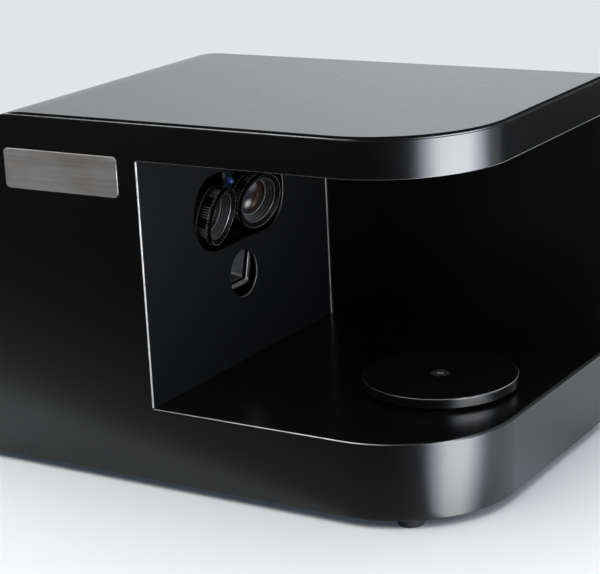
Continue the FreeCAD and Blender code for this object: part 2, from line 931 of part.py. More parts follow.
def optics_leg(side):
    """Upright side plate of the optics bench, lightened, with a foot flange on the base pan."""
    x0 = bench_rear + leg_inset
    x1 = bench_front - leg_inset
    outer = bay_middle + side * bench_half
    inner = outer - side * bench_leg
    plate = box(x0, x1, inner, outer, pan_top, shelf_bottom)
    flange = box(x0, x1, inner, outer + side * leg_flange, pan_top, pan_top + bench_leg)
    window = box(x0 + leg_window_margin, x1 - leg_window_margin, inner - side * overcut,
                 outer + side * overcut, pan_top + leg_window_above_pan,
                 shelf_bottom - leg_window_below_shelf)
    window = soften(window, leg_window_corner, lambda e: runs_along(e, "y"))
    return join([plate.cut(window), flange])


# ---------------------------------------------------------------- projector
def projector_frame():
    """Frame of the projector: its origin is the mouth of the hood, its +X looks out of it."""
    place = Vector(panel_rear - projector_setback, bay_middle, hole_level)
    return Placement(place, Rotation(Vector(0, 1, 0), projector_pitch))


def hood_block(x0, x1, width, height):
    """Block round the middle line of the hood."""
    return box(x0, x1, -width / 2, width / 2, hood_rise - height / 2, hood_rise + height / 2)


def projector_bezel():
    """Rectangular hood in front of the window, bevelled inside its mouth."""
    inner_width = hood_width - 2 * hood_wall
    inner_height = hood_height - 2 * hood_wall
    tube = hood_block(-hood_length, 0, hood_width, hood_height)
    flange = hood_block(-hood_length, -hood_length + hood_flange_thickness,
                        hood_width + 2 * hood_flange, hood_height + 2 * hood_flange)
    bore = hood_block(-hood_length - overcut, overcut, inner_width, inner_height)
    groove = hood_block(-hood_bevel - hood_groove_width, -hood_bevel,
                        inner_width + 2 * hood_groove_depth,
                        inner_height + 2 * hood_groove_depth)
    seat = hood_block(-hood_length - overcut, -hood_length + window_thickness,
                      inner_width + 2 * window_lip, inner_height + 2 * window_lip)
    hood = cut_all(join([tube, flange]), [bore, seat])

    def mouth(edge):
        b = edge.BoundBox
        inside = max(abs(b.YMin), abs(b.YMax)) < hood_width / 2 - tolerance
        return b.XMin > -tolerance and inside

    return chamfer(hood, hood_bevel - tolerance, mouth).cut(groove)


def projector_window():
    """Glass pane seated in the rear end of the hood."""
    grow = 2 * (window_lip - hood_wall - running_fit)
    return hood_block(-hood_length, -hood_length + window_thickness, hood_width + grow,
                      hood_height + grow)


def projector_body():
    """Light engine behind the hood, with cooling ribs along its sides."""
    half = projector_width / 2
    low = projector_rise - projector_height
    block = box(-hood_length - projector_length, -hood_length, -half, half, low,
                projector_rise)
    block = soften(block, projector_edge, lambda e: runs_along(e, "x"))
    cuts = []
    for i in range(projector_ribs):
        x = -hood_length - projector_rib_start - i * projector_rib_pitch
        for side in (-1, 1):
            cuts.append(box(x, x + projector_rib_width, side * (half - projector_rib_depth),
                            side * (half + overcut), low + projector_rib_margin,
                            projector_rise - projector_rib_margin))
    cuts.append(rod((-hood_length - projector_lens_length, 0, 0), (1, 0, 0),
                    projector_lens_radius, projector_lens_length + overcut))
    return cut_all(block, cuts)


def projector_lens():
    """Projection lens, seated in the light engine, behind the window."""
    start = -hood_length - projector_lens_length
    end = -hood_length - fit_gap
    radius = projector_lens_radius - running_fit
    face_outer = radius - projector_lens_chamfer
    face_inner = face_outer - projector_lens_face
    glass_edge = end - projector_lens_recess
    return turned([
        (start, 0),
        (start, radius),
        (end - projector_lens_chamfer, radius),
        (end, face_outer),
        (end, face_inner),
        (glass_edge, face_inner - projector_lens_face / 2),
        (glass_edge + projector_lens_dome, 0),
    ])


def projector_hanger():
    """Trough under the light engine, hung from the shelf by its two side walls."""
    half = projector_width / 2 + pocket_gap
    low = projector_rise - projector_height
    x0 = -hood_length - projector_length + hanger_end
    x1 = -hood_length - hanger_start
    parts = [box(x0, x1, -half - hanger_wall, half + hanger_wall, low - hanger_wall, low)]
    for side in (-1, 1):
        parts.append(box(x0, x1, side * half, side * (half + hanger_wall), low - hanger_wall,
                         shelf_level - hole_level))
    above = box(-clear, clear, -clear, clear, shelf_bottom, clear)
    return in_frame(join(parts), projector_frame()).cut(above)


# ---------------------------------------------------------------- status lamp
def status_lamp():
    """Small blue lamp between the lenses."""
    stem = rod((lamp_x, bay_middle, lamp_level), (1, 0, 0), lamp_radius, lamp_length)
    dome = Part.makeSphere(lamp_radius, Vector(lamp_x + lamp_length, bay_middle, lamp_level))
    return join([stem, dome])


def lamp_bracket():
    """Bent strip that holds the lamp, fixed behind the panel above the slot."""
    y0 = bay_middle - lamp_strip_width / 2
    y1 = bay_middle + lamp_strip_width / 2
    x0 = lamp_x + lamp_overhang
    level = slot_level + slot_height / 2 + lamp_strip_gap
    bridge = box(x0, panel_rear, y0, y1, level, level + lamp_strip)
    drop = box(x0, x0 + lamp_strip, y0, y1, lamp_level - lamp_strip_width / 2,
               level + lamp_strip)
    tab = box(panel_rear - lamp_strip, panel_rear, y0, y1, level, ceiling_level - sheet)
    hole = rod((x0 - overcut, bay_middle, lamp_level), (1, 0, 0), lamp_radius + running_fit,
               lamp_strip + 2 * overcut)
    return join([bridge, drop, tab]).cut(hole)


# ---------------------------------------------------------------- turntable and drive
def turntable_disc():
    """Disc with a countersunk centre hole."""
    radius = turntable_diameter / 2
    disc = on_table_axis(disc_underside, radius, turntable_thickness)
    disc = soften(disc, turntable_edge, lambda e: flat_at(e, disc_top))
    hole = on_table_axis(disc_underside - overcut, disc_screw_hole + pocket_gap,
                         turntable_thickness + 2 * overcut)
    sink = Part.makeCone(disc_screw_hole + pocket_gap, disc_screw_head_radius + pocket_gap,
                         disc_screw_sink, table_point(disc_top - disc_screw_sink))
    return cut_all(disc, [hole, sink])


def table_point(level):
    return Vector(table_x, bay_middle, level)


def disc_screw():
    """Countersunk screw that holds the disc on the hub."""
    head = Part.makeCone(disc_screw_hole, disc_screw_head_radius, disc_screw_sink,
                         table_point(disc_top - disc_screw_sink))
    shank = on_table_axis(disc_top - disc_screw_length, disc_screw_radius,
                          disc_screw_length - disc_screw_sink)
    socket = on_table_axis(disc_top - disc_screw_socket_depth, disc_screw_socket_radius,
                           disc_screw_socket_depth + overcut)
    return join([head, shank]).cut(socket)


def spindle():
    """Stepped shaft with the hub that carries the disc."""
    hub_bottom = disc_underside - hub_thickness
    collar_bottom = upper_bearing_level + bearing_width
    hub = on_table_axis(hub_bottom, hub_radius, hub_thickness)
    collar = on_table_axis(collar_bottom, spindle_radius + spindle_collar,
                           hub_bottom - collar_bottom)
    shaft = on_table_axis(spindle_end, spindle_radius, disc_underside - spindle_end)
    thread_end = disc_top - disc_screw_length - screw_tip
    thread = on_table_axis(thread_end, disc_screw_radius + pocket_gap, disc_top - thread_end)
    return join([hub, collar, shaft]).cut(thread)


def bearing(level):
    """Ball bearing with a groove between its two rings on both faces."""
    inner = spindle_radius + running_fit
    outer = bearing_outer_radius
    width = bearing_width
    inner_shoulder = inner + bearing_ring
    outer_shoulder = outer - bearing_ring
    ring = turned([
        (0, inner),
        (0, inner_shoulder),
        (bearing_groove, inner_shoulder),
        (bearing_groove, outer_shoulder),
        (0, outer_shoulder),
        (0, outer),
        (width, outer),
        (width, outer_shoulder),
        (width - bearing_groove, outer_shoulder),
        (width - bearing_groove, inner_shoulder),
        (width, inner_shoulder),
        (width, inner),
    ])
    upwards = Rotation(Vector(1, 0, 0), Vector(0, 0, 1))
    ring.Placement = Placement(table_point(level), upwards)
    return ring


def bearing_housing():
    """Flanged sleeve under the bay floor, with webs, bored from both ends for the bearings."""
    outer = bearing_outer_radius + bearing_wall
    flange = on_table_axis(under_floor - bearing_flange_thickness, bearing_flange_radius,
                           bearing_flange_thickness)
    sleeve = on_table_axis(lower_bearing_level, outer, under_floor - lower_bearing_level)
    parts = [flange, sleeve]
    web_end = bearing_flange_radius - bearing_web
    for angle in (45, 135, 225, 315):
        web = box(bearing_outer_radius + overcut, web_end, -bearing_web / 2, bearing_web / 2,
                  lower_bearing_level + bearing_web_drop, under_floor)
        web.rotate(Vector(0, 0, 0), Vector(0, 0, 1), angle)
        web.translate(table_point(0))
        parts.append(web)
    bores = [
        on_table_axis(lower_bearing_level - overcut, bearing_outer_radius,
                      bearing_width + overcut),
        on_table_axis(upper_bearing_level, bearing_outer_radius, clear),
        on_table_axis(lower_bearing_level, bearing_outer_radius - bearing_ridge_height, clear),
    ]
    bores += [screw_hole(x, y, under_floor - bearing_flange_thickness, (0, 0, 1),
                         bearing_flange_thickness) for x, y in bearing_screw_places()]
    return cut_all(join(parts), bores)


def bearing_screw_places():
    reach = bearing_flange_radius - bearing_screw_inset
    return [(table_x + reach * dx, bay_middle + reach * dy)
            for dx, dy in ((1, 0), (0, 1), (-1, 0), (0, -1))]


def pulley_radius(teeth):
    return teeth * belt_pitch / (2 * math.pi)


def pulley(x, teeth, bore, hub_end):
    """Toothed belt pulley with two flanges and a hub above them."""
    radius = pulley_radius(teeth)
    body = upright(x, bay_middle, pulley_level, radius, pulley_top - pulley_level)
    notches = []
    for i in range(teeth):
        angle = 2 * math.pi * i / teeth
        notches.append(upright(x + radius * math.cos(angle), bay_middle + radius * math.sin(angle),
                               pulley_level + pulley_flange, tooth_radius, pulley_width))
    hub = upright(x, bay_middle, pulley_level, bore + pulley_hub_wall, hub_end - pulley_level)
    parts = [body.cut(group(notches)), hub]
    for level in (pulley_level, pulley_top - pulley_flange):
        parts.append(upright(x, bay_middle, level, radius + pulley_flange_rim, pulley_flange))
    shaft_hole = upright(x, bay_middle, pulley_level - overcut, bore, clear)
    return join(parts).cut(shaft_hole)


def belt_outline(big, small):
    """Open loop round two circles on the X axis: the big one at 0, the small one to its left."""
    lean = 180 - math.degrees(math.acos((big - small) / motor_distance))
    far = -motor_distance

    def on(centre, radius, angle):
        return (centre + radius * math.cos(math.radians(angle)),
                radius * math.sin(math.radians(angle)))

    return [
        arc_between(on(0, big, -lean), (0, 0), big, 0, on(0, big, lean)),
        line(on(0, big, lean), on(far, small, lean)),
        arc_between(on(far, small, lean), (far, 0), small, 180, on(far, small, -lean)),
        line(on(far, small, -lean), on(0, big, -lean)),
    ]


def drive_belt():
    """Closed belt round both pulleys."""
    big = pulley_radius(driven_teeth) + belt_gap
    small = pulley_radius(motor_teeth) + belt_gap
    width = pulley_width - 2 * belt_side_gap
    outer = flat_plate(belt_outline(big + belt_thickness, small + belt_thickness), width)
    inner = flat_plate(belt_outline(big, small), width)
    loop = outer.cut(inner)
    loop.translate(table_point(pulley_level + pulley_flange + belt_side_gap))
    return loop


def stepper_motor():
    """Square motor, shaft downwards, with chamfered corners and end caps."""
    half = motor_size / 2
    body = box(motor_x - half, motor_x + half, bay_middle - half, bay_middle + half,
               motor_face, motor_face + motor_height)
    body = chamfer(body, motor_chamfer, lambda e: runs_along(e, "z"))
    core_size = motor_size - 2 * motor_core_inset
    core_height = motor_height - 2 * motor_cap
    core = rounded_plate(core_size, core_size, motor_core_corner, core_height)
    core.translate(Vector(motor_x, bay_middle, motor_face + motor_cap))
    waist = box(motor_x - motor_size, motor_x + motor_size, bay_middle - motor_size,
                bay_middle + motor_size, motor_face + motor_cap,
                motor_face + motor_cap + core_height)
    pilot = upright(motor_x, bay_middle, motor_face - motor_pilot_height, motor_pilot_radius,
                    motor_pilot_height)
    shaft_hole = upright(motor_x, bay_middle, motor_face - clear,
                         motor_shaft_radius + running_fit,
                         clear + motor_height - motor_shaft_cover)
    return join([body.cut(waist.cut(core)), pilot]).cut(shaft_hole)


def motor_shaft():
    end = motor_face + motor_height - motor_shaft_cover
    return upright(motor_x, bay_middle, pulley_level, motor_shaft_radius, end - pulley_level)


def motor_bracket():
    """Plate under the motor, hung from the bay floor by two side walls."""
    x0 = motor_x - motor_size / 2
    x1 = motor_x + motor_size / 2
    reach = motor_size / 2 + motor_side_room
    level = motor_face - motor_plate
    parts = [box(x0, x1, bay_middle - reach, bay_middle + reach, level, motor_face)]
    for side in (-1, 1):
        inner = bay_middle + side * reach
        outer = inner + side * motor_plate
        parts.append(box(x0, x1, inner, outer, level, under_floor))
        parts.append(box(x0, x1, inner, outer + side * motor_tab, under_floor - motor_plate,
                         under_floor))
    cuts = [upright(motor_x, bay_middle, level - overcut, motor_pilot_radius + pocket_gap,
                    motor_plate + 2 * overcut)]
    cuts += [screw_hole(x, y, level, (0, 0, 1), motor_plate) for x, y in motor_screw_places()]
    return cut_all(join(parts), cuts)


def motor_screw_places():
    reach = motor_screw_reach
    return [(motor_x + dx, bay_middle + dy) for dx in (-reach, reach) for dy in (-reach, reach)]


def drive_screws():
    """Screws of the bearing housing and of the motor."""
    flange_bottom = under_floor - bearing_flange_thickness
    rows = [
        (bearing_screw_places(), flange_bottom, bearing_flange_thickness),
        (motor_screw_places(), motor_face - motor_plate, motor_plate),
    ]
    return group([screw(x, y, level, (0, 0, 1), grip)
                  for places, level, grip in rows for x, y in places])


# ---------------------------------------------------------------- electronics
def control_board():
    """Circuit board with its connectors, a chip and capacitors."""
    x0 = electronics_left
    y0 = board_front
    surface = board_level + board_thickness
    middle_x = x0 + board_length / 2
    middle_y = y0 + board_width / 2
    parts = [
        box(x0, x0 + board_length, y0, y0 + board_width, board_level, surface),
        box(middle_x - chip_size / 2, middle_x + chip_size / 2, middle_y - chip_size / 2,
            middle_y + chip_size / 2, surface, surface + chip_height),
    ]
    connector_row = (connector_count - 1) * connector_pitch + connector_length
    for i in range(connector_count):
        start = middle_x - connector_row / 2 + i * connector_pitch
        near = y0 + connector_inset
        parts.append(box(start, start + connector_length, near, near + connector_width, surface,
                         surface + connector_height))
    for i in range(capacitor_count):
        y = middle_y + (i - (capacitor_count - 1) / 2) * capacitor_pitch
        parts.append(upright(middle_x + board_length / 3, y, surface, capacitor_radius,
                             capacitor_height))
    holes = [screw_hole(x, y, board_level, (0, 0, 1), board_thickness)
             for x, y in board_corners()]
    return cut_all(join(parts), holes)


def board_corners():
    xs = (electronics_left + board_hole_inset,
          electronics_left + board_length - board_hole_inset)
    ys = (board_front + connector_inset + connector_width + board_hole_inset,
          board_front + board_width - board_hole_inset)
    return [(x, y) for x in xs for y in ys]


def board_standoffs():
    """Posts on the base pan, each with its screw through the board."""
    posts = []
    for x, y in board_corners():
        post = upright(x, y, pan_top, standoff_radius, board_standoff)
        pin = upright(x, y, board_level, screw_radius, board_thickness)
        cap = upright(x, y, board_level + board_thickness, screw_head_radius, screw_head)
        posts.append(join([post, pin, cap]))
    return group(posts)


def power_supply():
    """Enclosed supply with a row of vent slots."""
    x0 = electronics_left
    y0 = supply_front
    upper = pan_top + supply_height
    block = box(x0, x0 + supply_length, y0, y0 + supply_width, pan_top, upper)
    block = soften(block, supply_edge, lambda e: runs_along(e, "z"))
    vent_row = (supply_slots - 1) * supply_slot_pitch + supply_slot_width
    first = x0 + (supply_length - vent_row) / 2
    slots = []
    for i in range(supply_slots):
        x = first + i * supply_slot_pitch
        slots.append(box(x, x + supply_slot_width, y0 + supply_slot_margin,
                         y0 + supply_width - supply_slot_margin, upper - supply_slot_depth,
                         upper + overcut))
    return cut_all(block, slots)


def fan_housing():
    """Square axial fan frame with a three-arm hub carrier."""
    half = fan_size / 2
    frame = box(fan_x - half, fan_x + half, fan_front, fan_front + fan_depth,
                fan_level - half, fan_level + half)
    frame = soften(frame, fan_corner, lambda e: runs_along(e, "y"))
    through = fan_depth + 2 * overcut
    frame = frame.cut(rod((fan_x, fan_front - overcut, fan_level), (0, 1, 0), half - fan_wall,
                          through))
    parts = [frame, rod((fan_x, fan_front, fan_level), (0, 1, 0), fan_hub_radius, fan_carrier)]
    for i in range(3):
        arm = box(fan_hub_radius - fan_wall, half - fan_wall / 2, 0, fan_carrier, -fan_arm / 2,
                  fan_arm / 2)
        arm.rotate(Vector(0, 0, 0), Vector(0, 1, 0), fan_arm_angle + 120 * i)
        arm.translate(Vector(fan_x, fan_front, fan_level))
        parts.append(arm)
    reach = half - fan_screw_inset
    cuts = [rod((fan_x, fan_front - overcut, fan_level), (0, 1, 0),
                fan_pin_radius + running_fit, fan_carrier + 2 * overcut)]
    cuts += [rod((fan_x + dx, fan_front - overcut, fan_level + dz), (0, 1, 0), fan_screw_hole,
                 through) for dx in (-reach, reach) for dz in (-reach, reach)]
    return cut_all(join(parts), cuts)


def fan_rotor():
    """Hub, blades and spindle pin."""
    start = fan_front + fan_carrier + fan_rotor_gap
    depth = fan_depth - fan_carrier - 2 * fan_rotor_gap - fan_blade / 2
    pin_length = fan_carrier + fan_rotor_gap
    parts = [
        rod((fan_x, start, fan_level), (0, 1, 0), fan_hub_radius, depth),
        rod((fan_x, start - pin_length, fan_level), (0, 1, 0), fan_pin_radius, pin_length),
    ]
    tip = fan_size / 2 - fan_wall - fan_tip_gap
    for i in range(fan_blades):
        blade = box(fan_hub_radius - fan_blade, tip, -fan_blade_chord / 2, fan_blade_chord / 2,
                    -fan_blade / 2, fan_blade / 2)
        blade.rotate(Vector(0, 0, 0), Vector(1, 0, 0), fan_blade_angle)
        blade.rotate(Vector(0, 0, 0), Vector(0, 1, 0), 360 * i / fan_blades)
        blade.translate(Vector(fan_x, start + depth / 2, fan_level))
        parts.append(blade)
    return join(parts)


# ---------------------------------------------------------------- sockets
def flanged_block(x, width, height, depth, corner):
    """Block through the rear cover, with a rounded flange on its outside."""
    flange = facing(rounded_plate(width, height, corner, socket_flange), "back",
                    (x, back, socket_level))
    body_width_inside = width - 2 * socket_rim
    body_height_inside = height - 2 * socket_rim
    body = box(x - body_width_inside / 2, x + body_width_inside / 2, back - depth, back,
               socket_level - body_height_inside / 2, socket_level + body_height_inside / 2)
    return join([flange, body])


def well(x, width, height, wall, depth):
    """Cavity of a socket, open to the back, inside a wall of even thickness."""
    half_width = width / 2 - wall
    half_height = height / 2 - wall
    return box(x - half_width, x + half_width, back - depth, back + socket_flange + overcut,
               socket_level - half_height, socket_level + half_height)


def upper_edges(edge):
    return runs_along(edge, "y") and edge.BoundBox.ZMin > socket_level


def power_inlet():
    """Three-pin appliance inlet."""
    whole = flanged_block(inlet_x, inlet_width, inlet_height, inlet_depth, inlet_corner)
    cavity = well(inlet_x, inlet_width - 2 * socket_rim, inlet_height - 2 * socket_rim,
                  inlet_wall, inlet_depth - inlet_floor)
    parts = [whole.cut(chamfer(cavity, inlet_chamfer, upper_edges))]
    places = ((-inlet_pin_spacing, -inlet_pin_rise), (0, inlet_pin_rise),
              (inlet_pin_spacing, -inlet_pin_rise))
    for dx, dz in places:
        x = inlet_x + dx
        z = socket_level + dz
        parts.append(box(x - inlet_pin / 2, x + inlet_pin / 2, back - inlet_depth + overcut,
                         back - inlet_pin_setback, z - inlet_pin_height / 2,
                         z + inlet_pin_height / 2))
    return join(parts)


def switch_frame():
    """Frame of the rocker switch, with the bearing holes of its pin."""
    whole = flanged_block(switch_x, switch_width, switch_height, switch_depth, switch_wall)
    inner_height = switch_height - 2 * socket_rim
    cavity = well(switch_x, switch_width - 2 * socket_rim, inner_height, switch_wall,
                  switch_well)
    pivot = upright(switch_x, back - switch_pin_depth, socket_level - inner_height / 2,
                    switch_pin_radius + running_fit, inner_height)
    return cut_all(whole, [cavity, pivot])


def switch_rocker():
    """Rocker with two sloping faces over a pivot pin, standing pressed to its off side."""
    half = switch_width / 2 - socket_rim - switch_wall - 2 * fit_gap
    half_height = switch_height / 2 - socket_rim - switch_wall - fit_gap
    low_half = half - rocker_taper
    middle = rocker_top - rocker_dip
    outline = [
        line((-half, rocker_top), (0, middle)),
        line((0, middle), (half, rocker_top)),
        line((half, rocker_top), (low_half, -rocker_bottom)),
        line((low_half, -rocker_bottom), (-low_half, -rocker_bottom)),
        line((-low_half, -rocker_bottom), (-half, rocker_top)),
    ]
    body = flat_plate(outline, 2 * half_height)
    body.translate(Vector(0, 0, -half_height))
    pin_half = half_height + switch_pin_end
    pin = upright(0, 0, -pin_half, switch_pin_radius, 2 * pin_half)
    rocker = join([body, pin])
    rocker.Placement = Placement(Vector(switch_x, back - switch_pin_depth, socket_level),
                                 Rotation(Vector(0, 0, 1), -switch_throw / 2))
    return rocker


def usb_socket():
    """Square data socket with its tongue."""
    half_width = usb_width / 2
    half_height = usb_height / 2
    shell = box(usb_x - half_width, usb_x + half_width, back - usb_depth, back,
                socket_level - half_height, socket_level + half_height)
    cavity = well(usb_x, usb_width, usb_height, usb_wall, usb_depth - usb_floor)
    tongue = box(usb_x - usb_tongue_width / 2, usb_x + usb_tongue_width / 2,
                 back - usb_depth + overcut, back - usb_tongue_setback,
                 socket_level - usb_tongue_height / 2, socket_level + usb_tongue_height / 2)
    return join([shell.cut(chamfer(cavity, usb_chamfer, upper_edges)), tongue])


# ---------------------------------------------------------------- build
save("top_cover", top_cover())
save("front_housing", front_housing())
save("bay_floor", bay_floor())
save("bay_ceiling", bay_ceiling())
save("optics_panel", optics_panel())
save("base_pan", base_pan())
save("back_panel", back_panel())
save("rear_cover", rear_cover())
save("rear_cover_screws", rear_cover_screws())
save("nameplate", nameplate())
foot_names = ("foot_front_left", "foot_front_right", "foot_rear_left", "foot_rear_right")
for name, (foot_x, foot_y) in zip(foot_names, foot_places()):
    save(name, foot(foot_x, foot_y))
save("foot_screws", foot_screws())

for name, side in (("front", -1), ("rear", 1)):
    frame = lens_frame(side)
    save(name + "_lens_barrel", in_frame(lens_barrel(), frame))
    save(name + "_focus_ring", in_frame(focus_ring(), frame))
    save(name + "_iris_ring", in_frame(iris_ring(), frame))
    save(name + "_lens_glass", in_frame(front_glass(), frame))
    save(name + "_camera", in_frame(camera(), frame))
    save(name + "_camera_wedge", camera_wedge(side))
    save(name + "_bench_leg", optics_leg(side))
save("optics_shelf", optics_shelf())

save("projector_body", in_frame(projector_body(), projector_frame()))
save("projector_bezel", in_frame(projector_bezel(), projector_frame()))
save("projector_window", in_frame(projector_window(), projector_frame()))
save("projector_lens", in_frame(projector_lens(), projector_frame()))
save("projector_hanger", projector_hanger())
save("status_lamp", status_lamp())
save("lamp_bracket", lamp_bracket())

save("turntable_disc", turntable_disc())
save("disc_screw", disc_screw())
save("turntable_spindle", spindle())
save("lower_bearing", bearing(lower_bearing_level))
save("upper_bearing", bearing(upper_bearing_level))
save("bearing_housing", bearing_housing())
save("driven_pulley", pulley(table_x, driven_teeth, spindle_radius,
                             lower_bearing_level - fit_gap))
save("motor_pulley", pulley(motor_x, motor_teeth, motor_shaft_radius,
                            pulley_top + motor_over_pulley / 2))
save("drive_belt", drive_belt())
save("stepper_motor", stepper_motor())
save("motor_shaft", motor_shaft())
save("motor_bracket", motor_bracket())
save("drive_screws", drive_screws())

save("control_board", control_board())
save("board_standoffs", board_standoffs())
save("power_supply", power_supply())
save("fan_housing", fan_housing())
save("fan_rotor", fan_rotor())
save("power_inlet", power_inlet())
save("switch_frame", switch_frame())
save("switch_rocker", switch_rocker())
save("usb_socket", usb_socket())
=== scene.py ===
import json
import math

import bmesh
import bpy
from mathutils import Matrix, Vector


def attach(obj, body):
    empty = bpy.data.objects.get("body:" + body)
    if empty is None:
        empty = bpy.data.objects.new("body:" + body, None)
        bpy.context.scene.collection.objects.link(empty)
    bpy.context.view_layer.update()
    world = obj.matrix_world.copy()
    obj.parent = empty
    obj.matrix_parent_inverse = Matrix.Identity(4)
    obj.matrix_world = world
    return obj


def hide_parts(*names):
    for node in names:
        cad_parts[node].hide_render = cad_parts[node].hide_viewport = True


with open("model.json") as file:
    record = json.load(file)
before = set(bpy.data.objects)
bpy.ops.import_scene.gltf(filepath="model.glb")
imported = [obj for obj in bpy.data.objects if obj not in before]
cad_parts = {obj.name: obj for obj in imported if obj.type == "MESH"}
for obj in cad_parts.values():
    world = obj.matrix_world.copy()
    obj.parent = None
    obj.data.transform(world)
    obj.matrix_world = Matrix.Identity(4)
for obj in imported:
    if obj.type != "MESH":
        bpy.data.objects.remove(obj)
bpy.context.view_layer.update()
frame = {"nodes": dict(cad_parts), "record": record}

nodes = frame["nodes"]
scene = bpy.context.scene

# Places and sizes of the frame that the looks follow, in metres
FRONT, BACK, TOP = -0.1125, 0.1125, 0.2395
CORNER_CENTRE, CORNER_RADIUS = (0.110, -0.0355), 0.077  # front right corner, seen from above
BAY_WALL, BAY_MIDDLE, BAY_BACK = -0.0265, -0.001, 0.1105
FLOOR_LEVEL, CEILING_LEVEL = 0.0545, 0.2145
HOLE, HOLE_RADIUS = (BAY_WALL, BAY_MIDDLE, 0.1139), 0.016
SLOT_END, SLOT_RADIUS = (BAY_WALL, BAY_MIDDLE + 0.0285, 0.1623), 0.0255  # end at the rear
DISC, DISC_RADIUS = (0.1195, BAY_MIDDLE, 0.0631), 0.050
LAMP_DOME = (-0.0331, BAY_MIDDLE, 0.1766)
SWITCH_X, SWITCH_LEVEL = -0.09925, 0.0555
COVER_SCREW_X = (-0.16075, -0.05275)
COVER_SCREW_Z = (0.0415, 0.1175, 0.1935)

# Lenses: depth runs along the axis and is 0 at the front rim, radius is measured from the axis
LENS_YAW = math.atan2(22.8, 128.0)
LENS_PITCH = math.radians(13.0)
LENS_RIM = (-0.0247, 0.0228, 0.1583)  # x, half spacing, z
GRIP_FRONT, GRIP_REAR = (-0.00315, 0.01945), (-0.0114, 0.01832)  # depth, radius
GLASS_DEPTH = -0.0072
BAFFLE_PITCH = 0.00114
RIB_HEIGHT = 0.00034
WORN_AND_LIT_SIDE = (0, 0.8, -0.6)  # side of the rings and cut edges with most wear, where their painted highlights are brightest

# Hood behind the round hole: depth is 0 at its mouth
HOOD_PITCH = math.radians(9.5)
HOOD_AXIS = (math.cos(HOOD_PITCH), 0, -math.sin(HOOD_PITCH))
HOOD_RISE = (math.sin(HOOD_PITCH), 0, math.cos(HOOD_PITCH))
HOOD_MOUTH = (-0.0321, BAY_MIDDLE, 0.1139)
HOOD_FLOOR, HOOD_HALF_WIDTH, HOOD_BEVEL = -0.0090, 0.0142, 0.0016
HOOD_CORNER = tuple(
    mouth - HOOD_BEVEL * axis + HOOD_FLOOR * rise + side
    for mouth, axis, rise, side in zip(HOOD_MOUTH, HOOD_AXIS, HOOD_RISE, (0, HOOD_HALF_WIDTH, 0)))

# Cover screws: (radius, height above the cover) from the shank's end to the crown
SCREW_PROFILE = [(0.0015, -0.0040), (0.0015, 0.0), (0.0029, 0.0), (0.0029, 0.00045),
                 (0.00282, 0.00066), (0.0026, 0.00083), (0.0023, 0.00095), (0.0020, 0.0010)]
RECESS_ARM, RECESS_HALF_WIDTH, RECESS_FLOOR = 0.00165, 0.00034, 0.00035
PIT_SCALE = 0.72  # length of the recess arms at the bottom of the recess

BACKGROUND = (0.765, 0.785, 0.80, 1)


# ------------------------------------------------------------------ camera
def place_camera():
    """Camera of the photograph, solved from the object's straight edges."""
    place = Vector((0.663983, -1.031754, 0.464380))
    aim = Vector((-0.510248, 0.813049, -0.280354)).normalized()
    roll = -0.0501
    level = aim.cross(Vector((0, 0, 1))).normalized()
    right = level * math.cos(roll) + level.cross(aim) * math.sin(roll)
    up = right.cross(aim)
    data = bpy.data.cameras.new("camera")
    data.sensor_width = 36.0
    data.lens = 115.43
    data.clip_end = 30.0
    camera = bpy.data.objects.new("camera", data)
    scene.collection.objects.link(camera)
    turn = Matrix((right, up, -aim)).transposed().to_4x4()
    camera.matrix_world = Matrix.Translation(place) @ turn
    scene.camera = camera


# ------------------------------------------------------------------ shader helpers
class Graph:
    """Procedural nodes of one tree."""

    def __init__(self, tree):
        self.tree = tree

    def add(self, kind, inputs=None, **settings):
        """New node; inputs holds a socket or a plain value for each input."""
        node = self.tree.nodes.new(kind)
        for key, value in settings.items():
            setattr(node, key, value)
        for key, value in (inputs or {}).items():
            if hasattr(value, "is_linked"):
                self.tree.links.new(value, node.inputs[key])
            else:
                node.inputs[key].default_value = value
        return node

    def math(self, operation, *values):
        return self.add("ShaderNodeMath", dict(enumerate(values)), operation=operation).outputs[0]

    def vector(self, operation, output, *values):
        node = self.add("ShaderNodeVectorMath", dict(enumerate(values)), operation=operation)
        return node.outputs[output]

    def spread(self, value, low, high, start=0.3, end=0.7, **settings):
        """Value mapped from start..end to low..high."""
        inputs = {0: value, 1: start, 2: end, 3: low, 4: high}
        return self.add("ShaderNodeMapRange", inputs, **settings).outputs[0]

    def band(self, value, start, end, soft=0.00008):
        """1 where value lies between start and end."""
        rising = self.spread(value, 0, 1, start - soft, start + soft)
        falling = self.spread(value, 1, 0, end - soft, end + soft)
        return self.math("MULTIPLY", rising, falling)

    def wave(self, value, pitch):
        """Sine that repeats every pitch metres."""
        return self.math("SINE", self.math("MULTIPLY", value, 2 * math.pi / pitch))

    def chain(self, operation, values):
        """One operation applied from value to value."""
        result = values[0]
        for value in values[1:]:
            result = self.math(operation, result, value)
        return result

    def product(self, *values):
        """Values multiplied together."""
        return self.chain("MULTIPLY", values)

    def most(self, *values):
        """Largest of several masks."""
        return self.chain("MAXIMUM", values)

    def blend(self, factor, first, second):
        inputs = {0: factor, 6: first, 7: second}
        return self.add("ShaderNodeMix", inputs, data_type="RGBA").outputs[2]


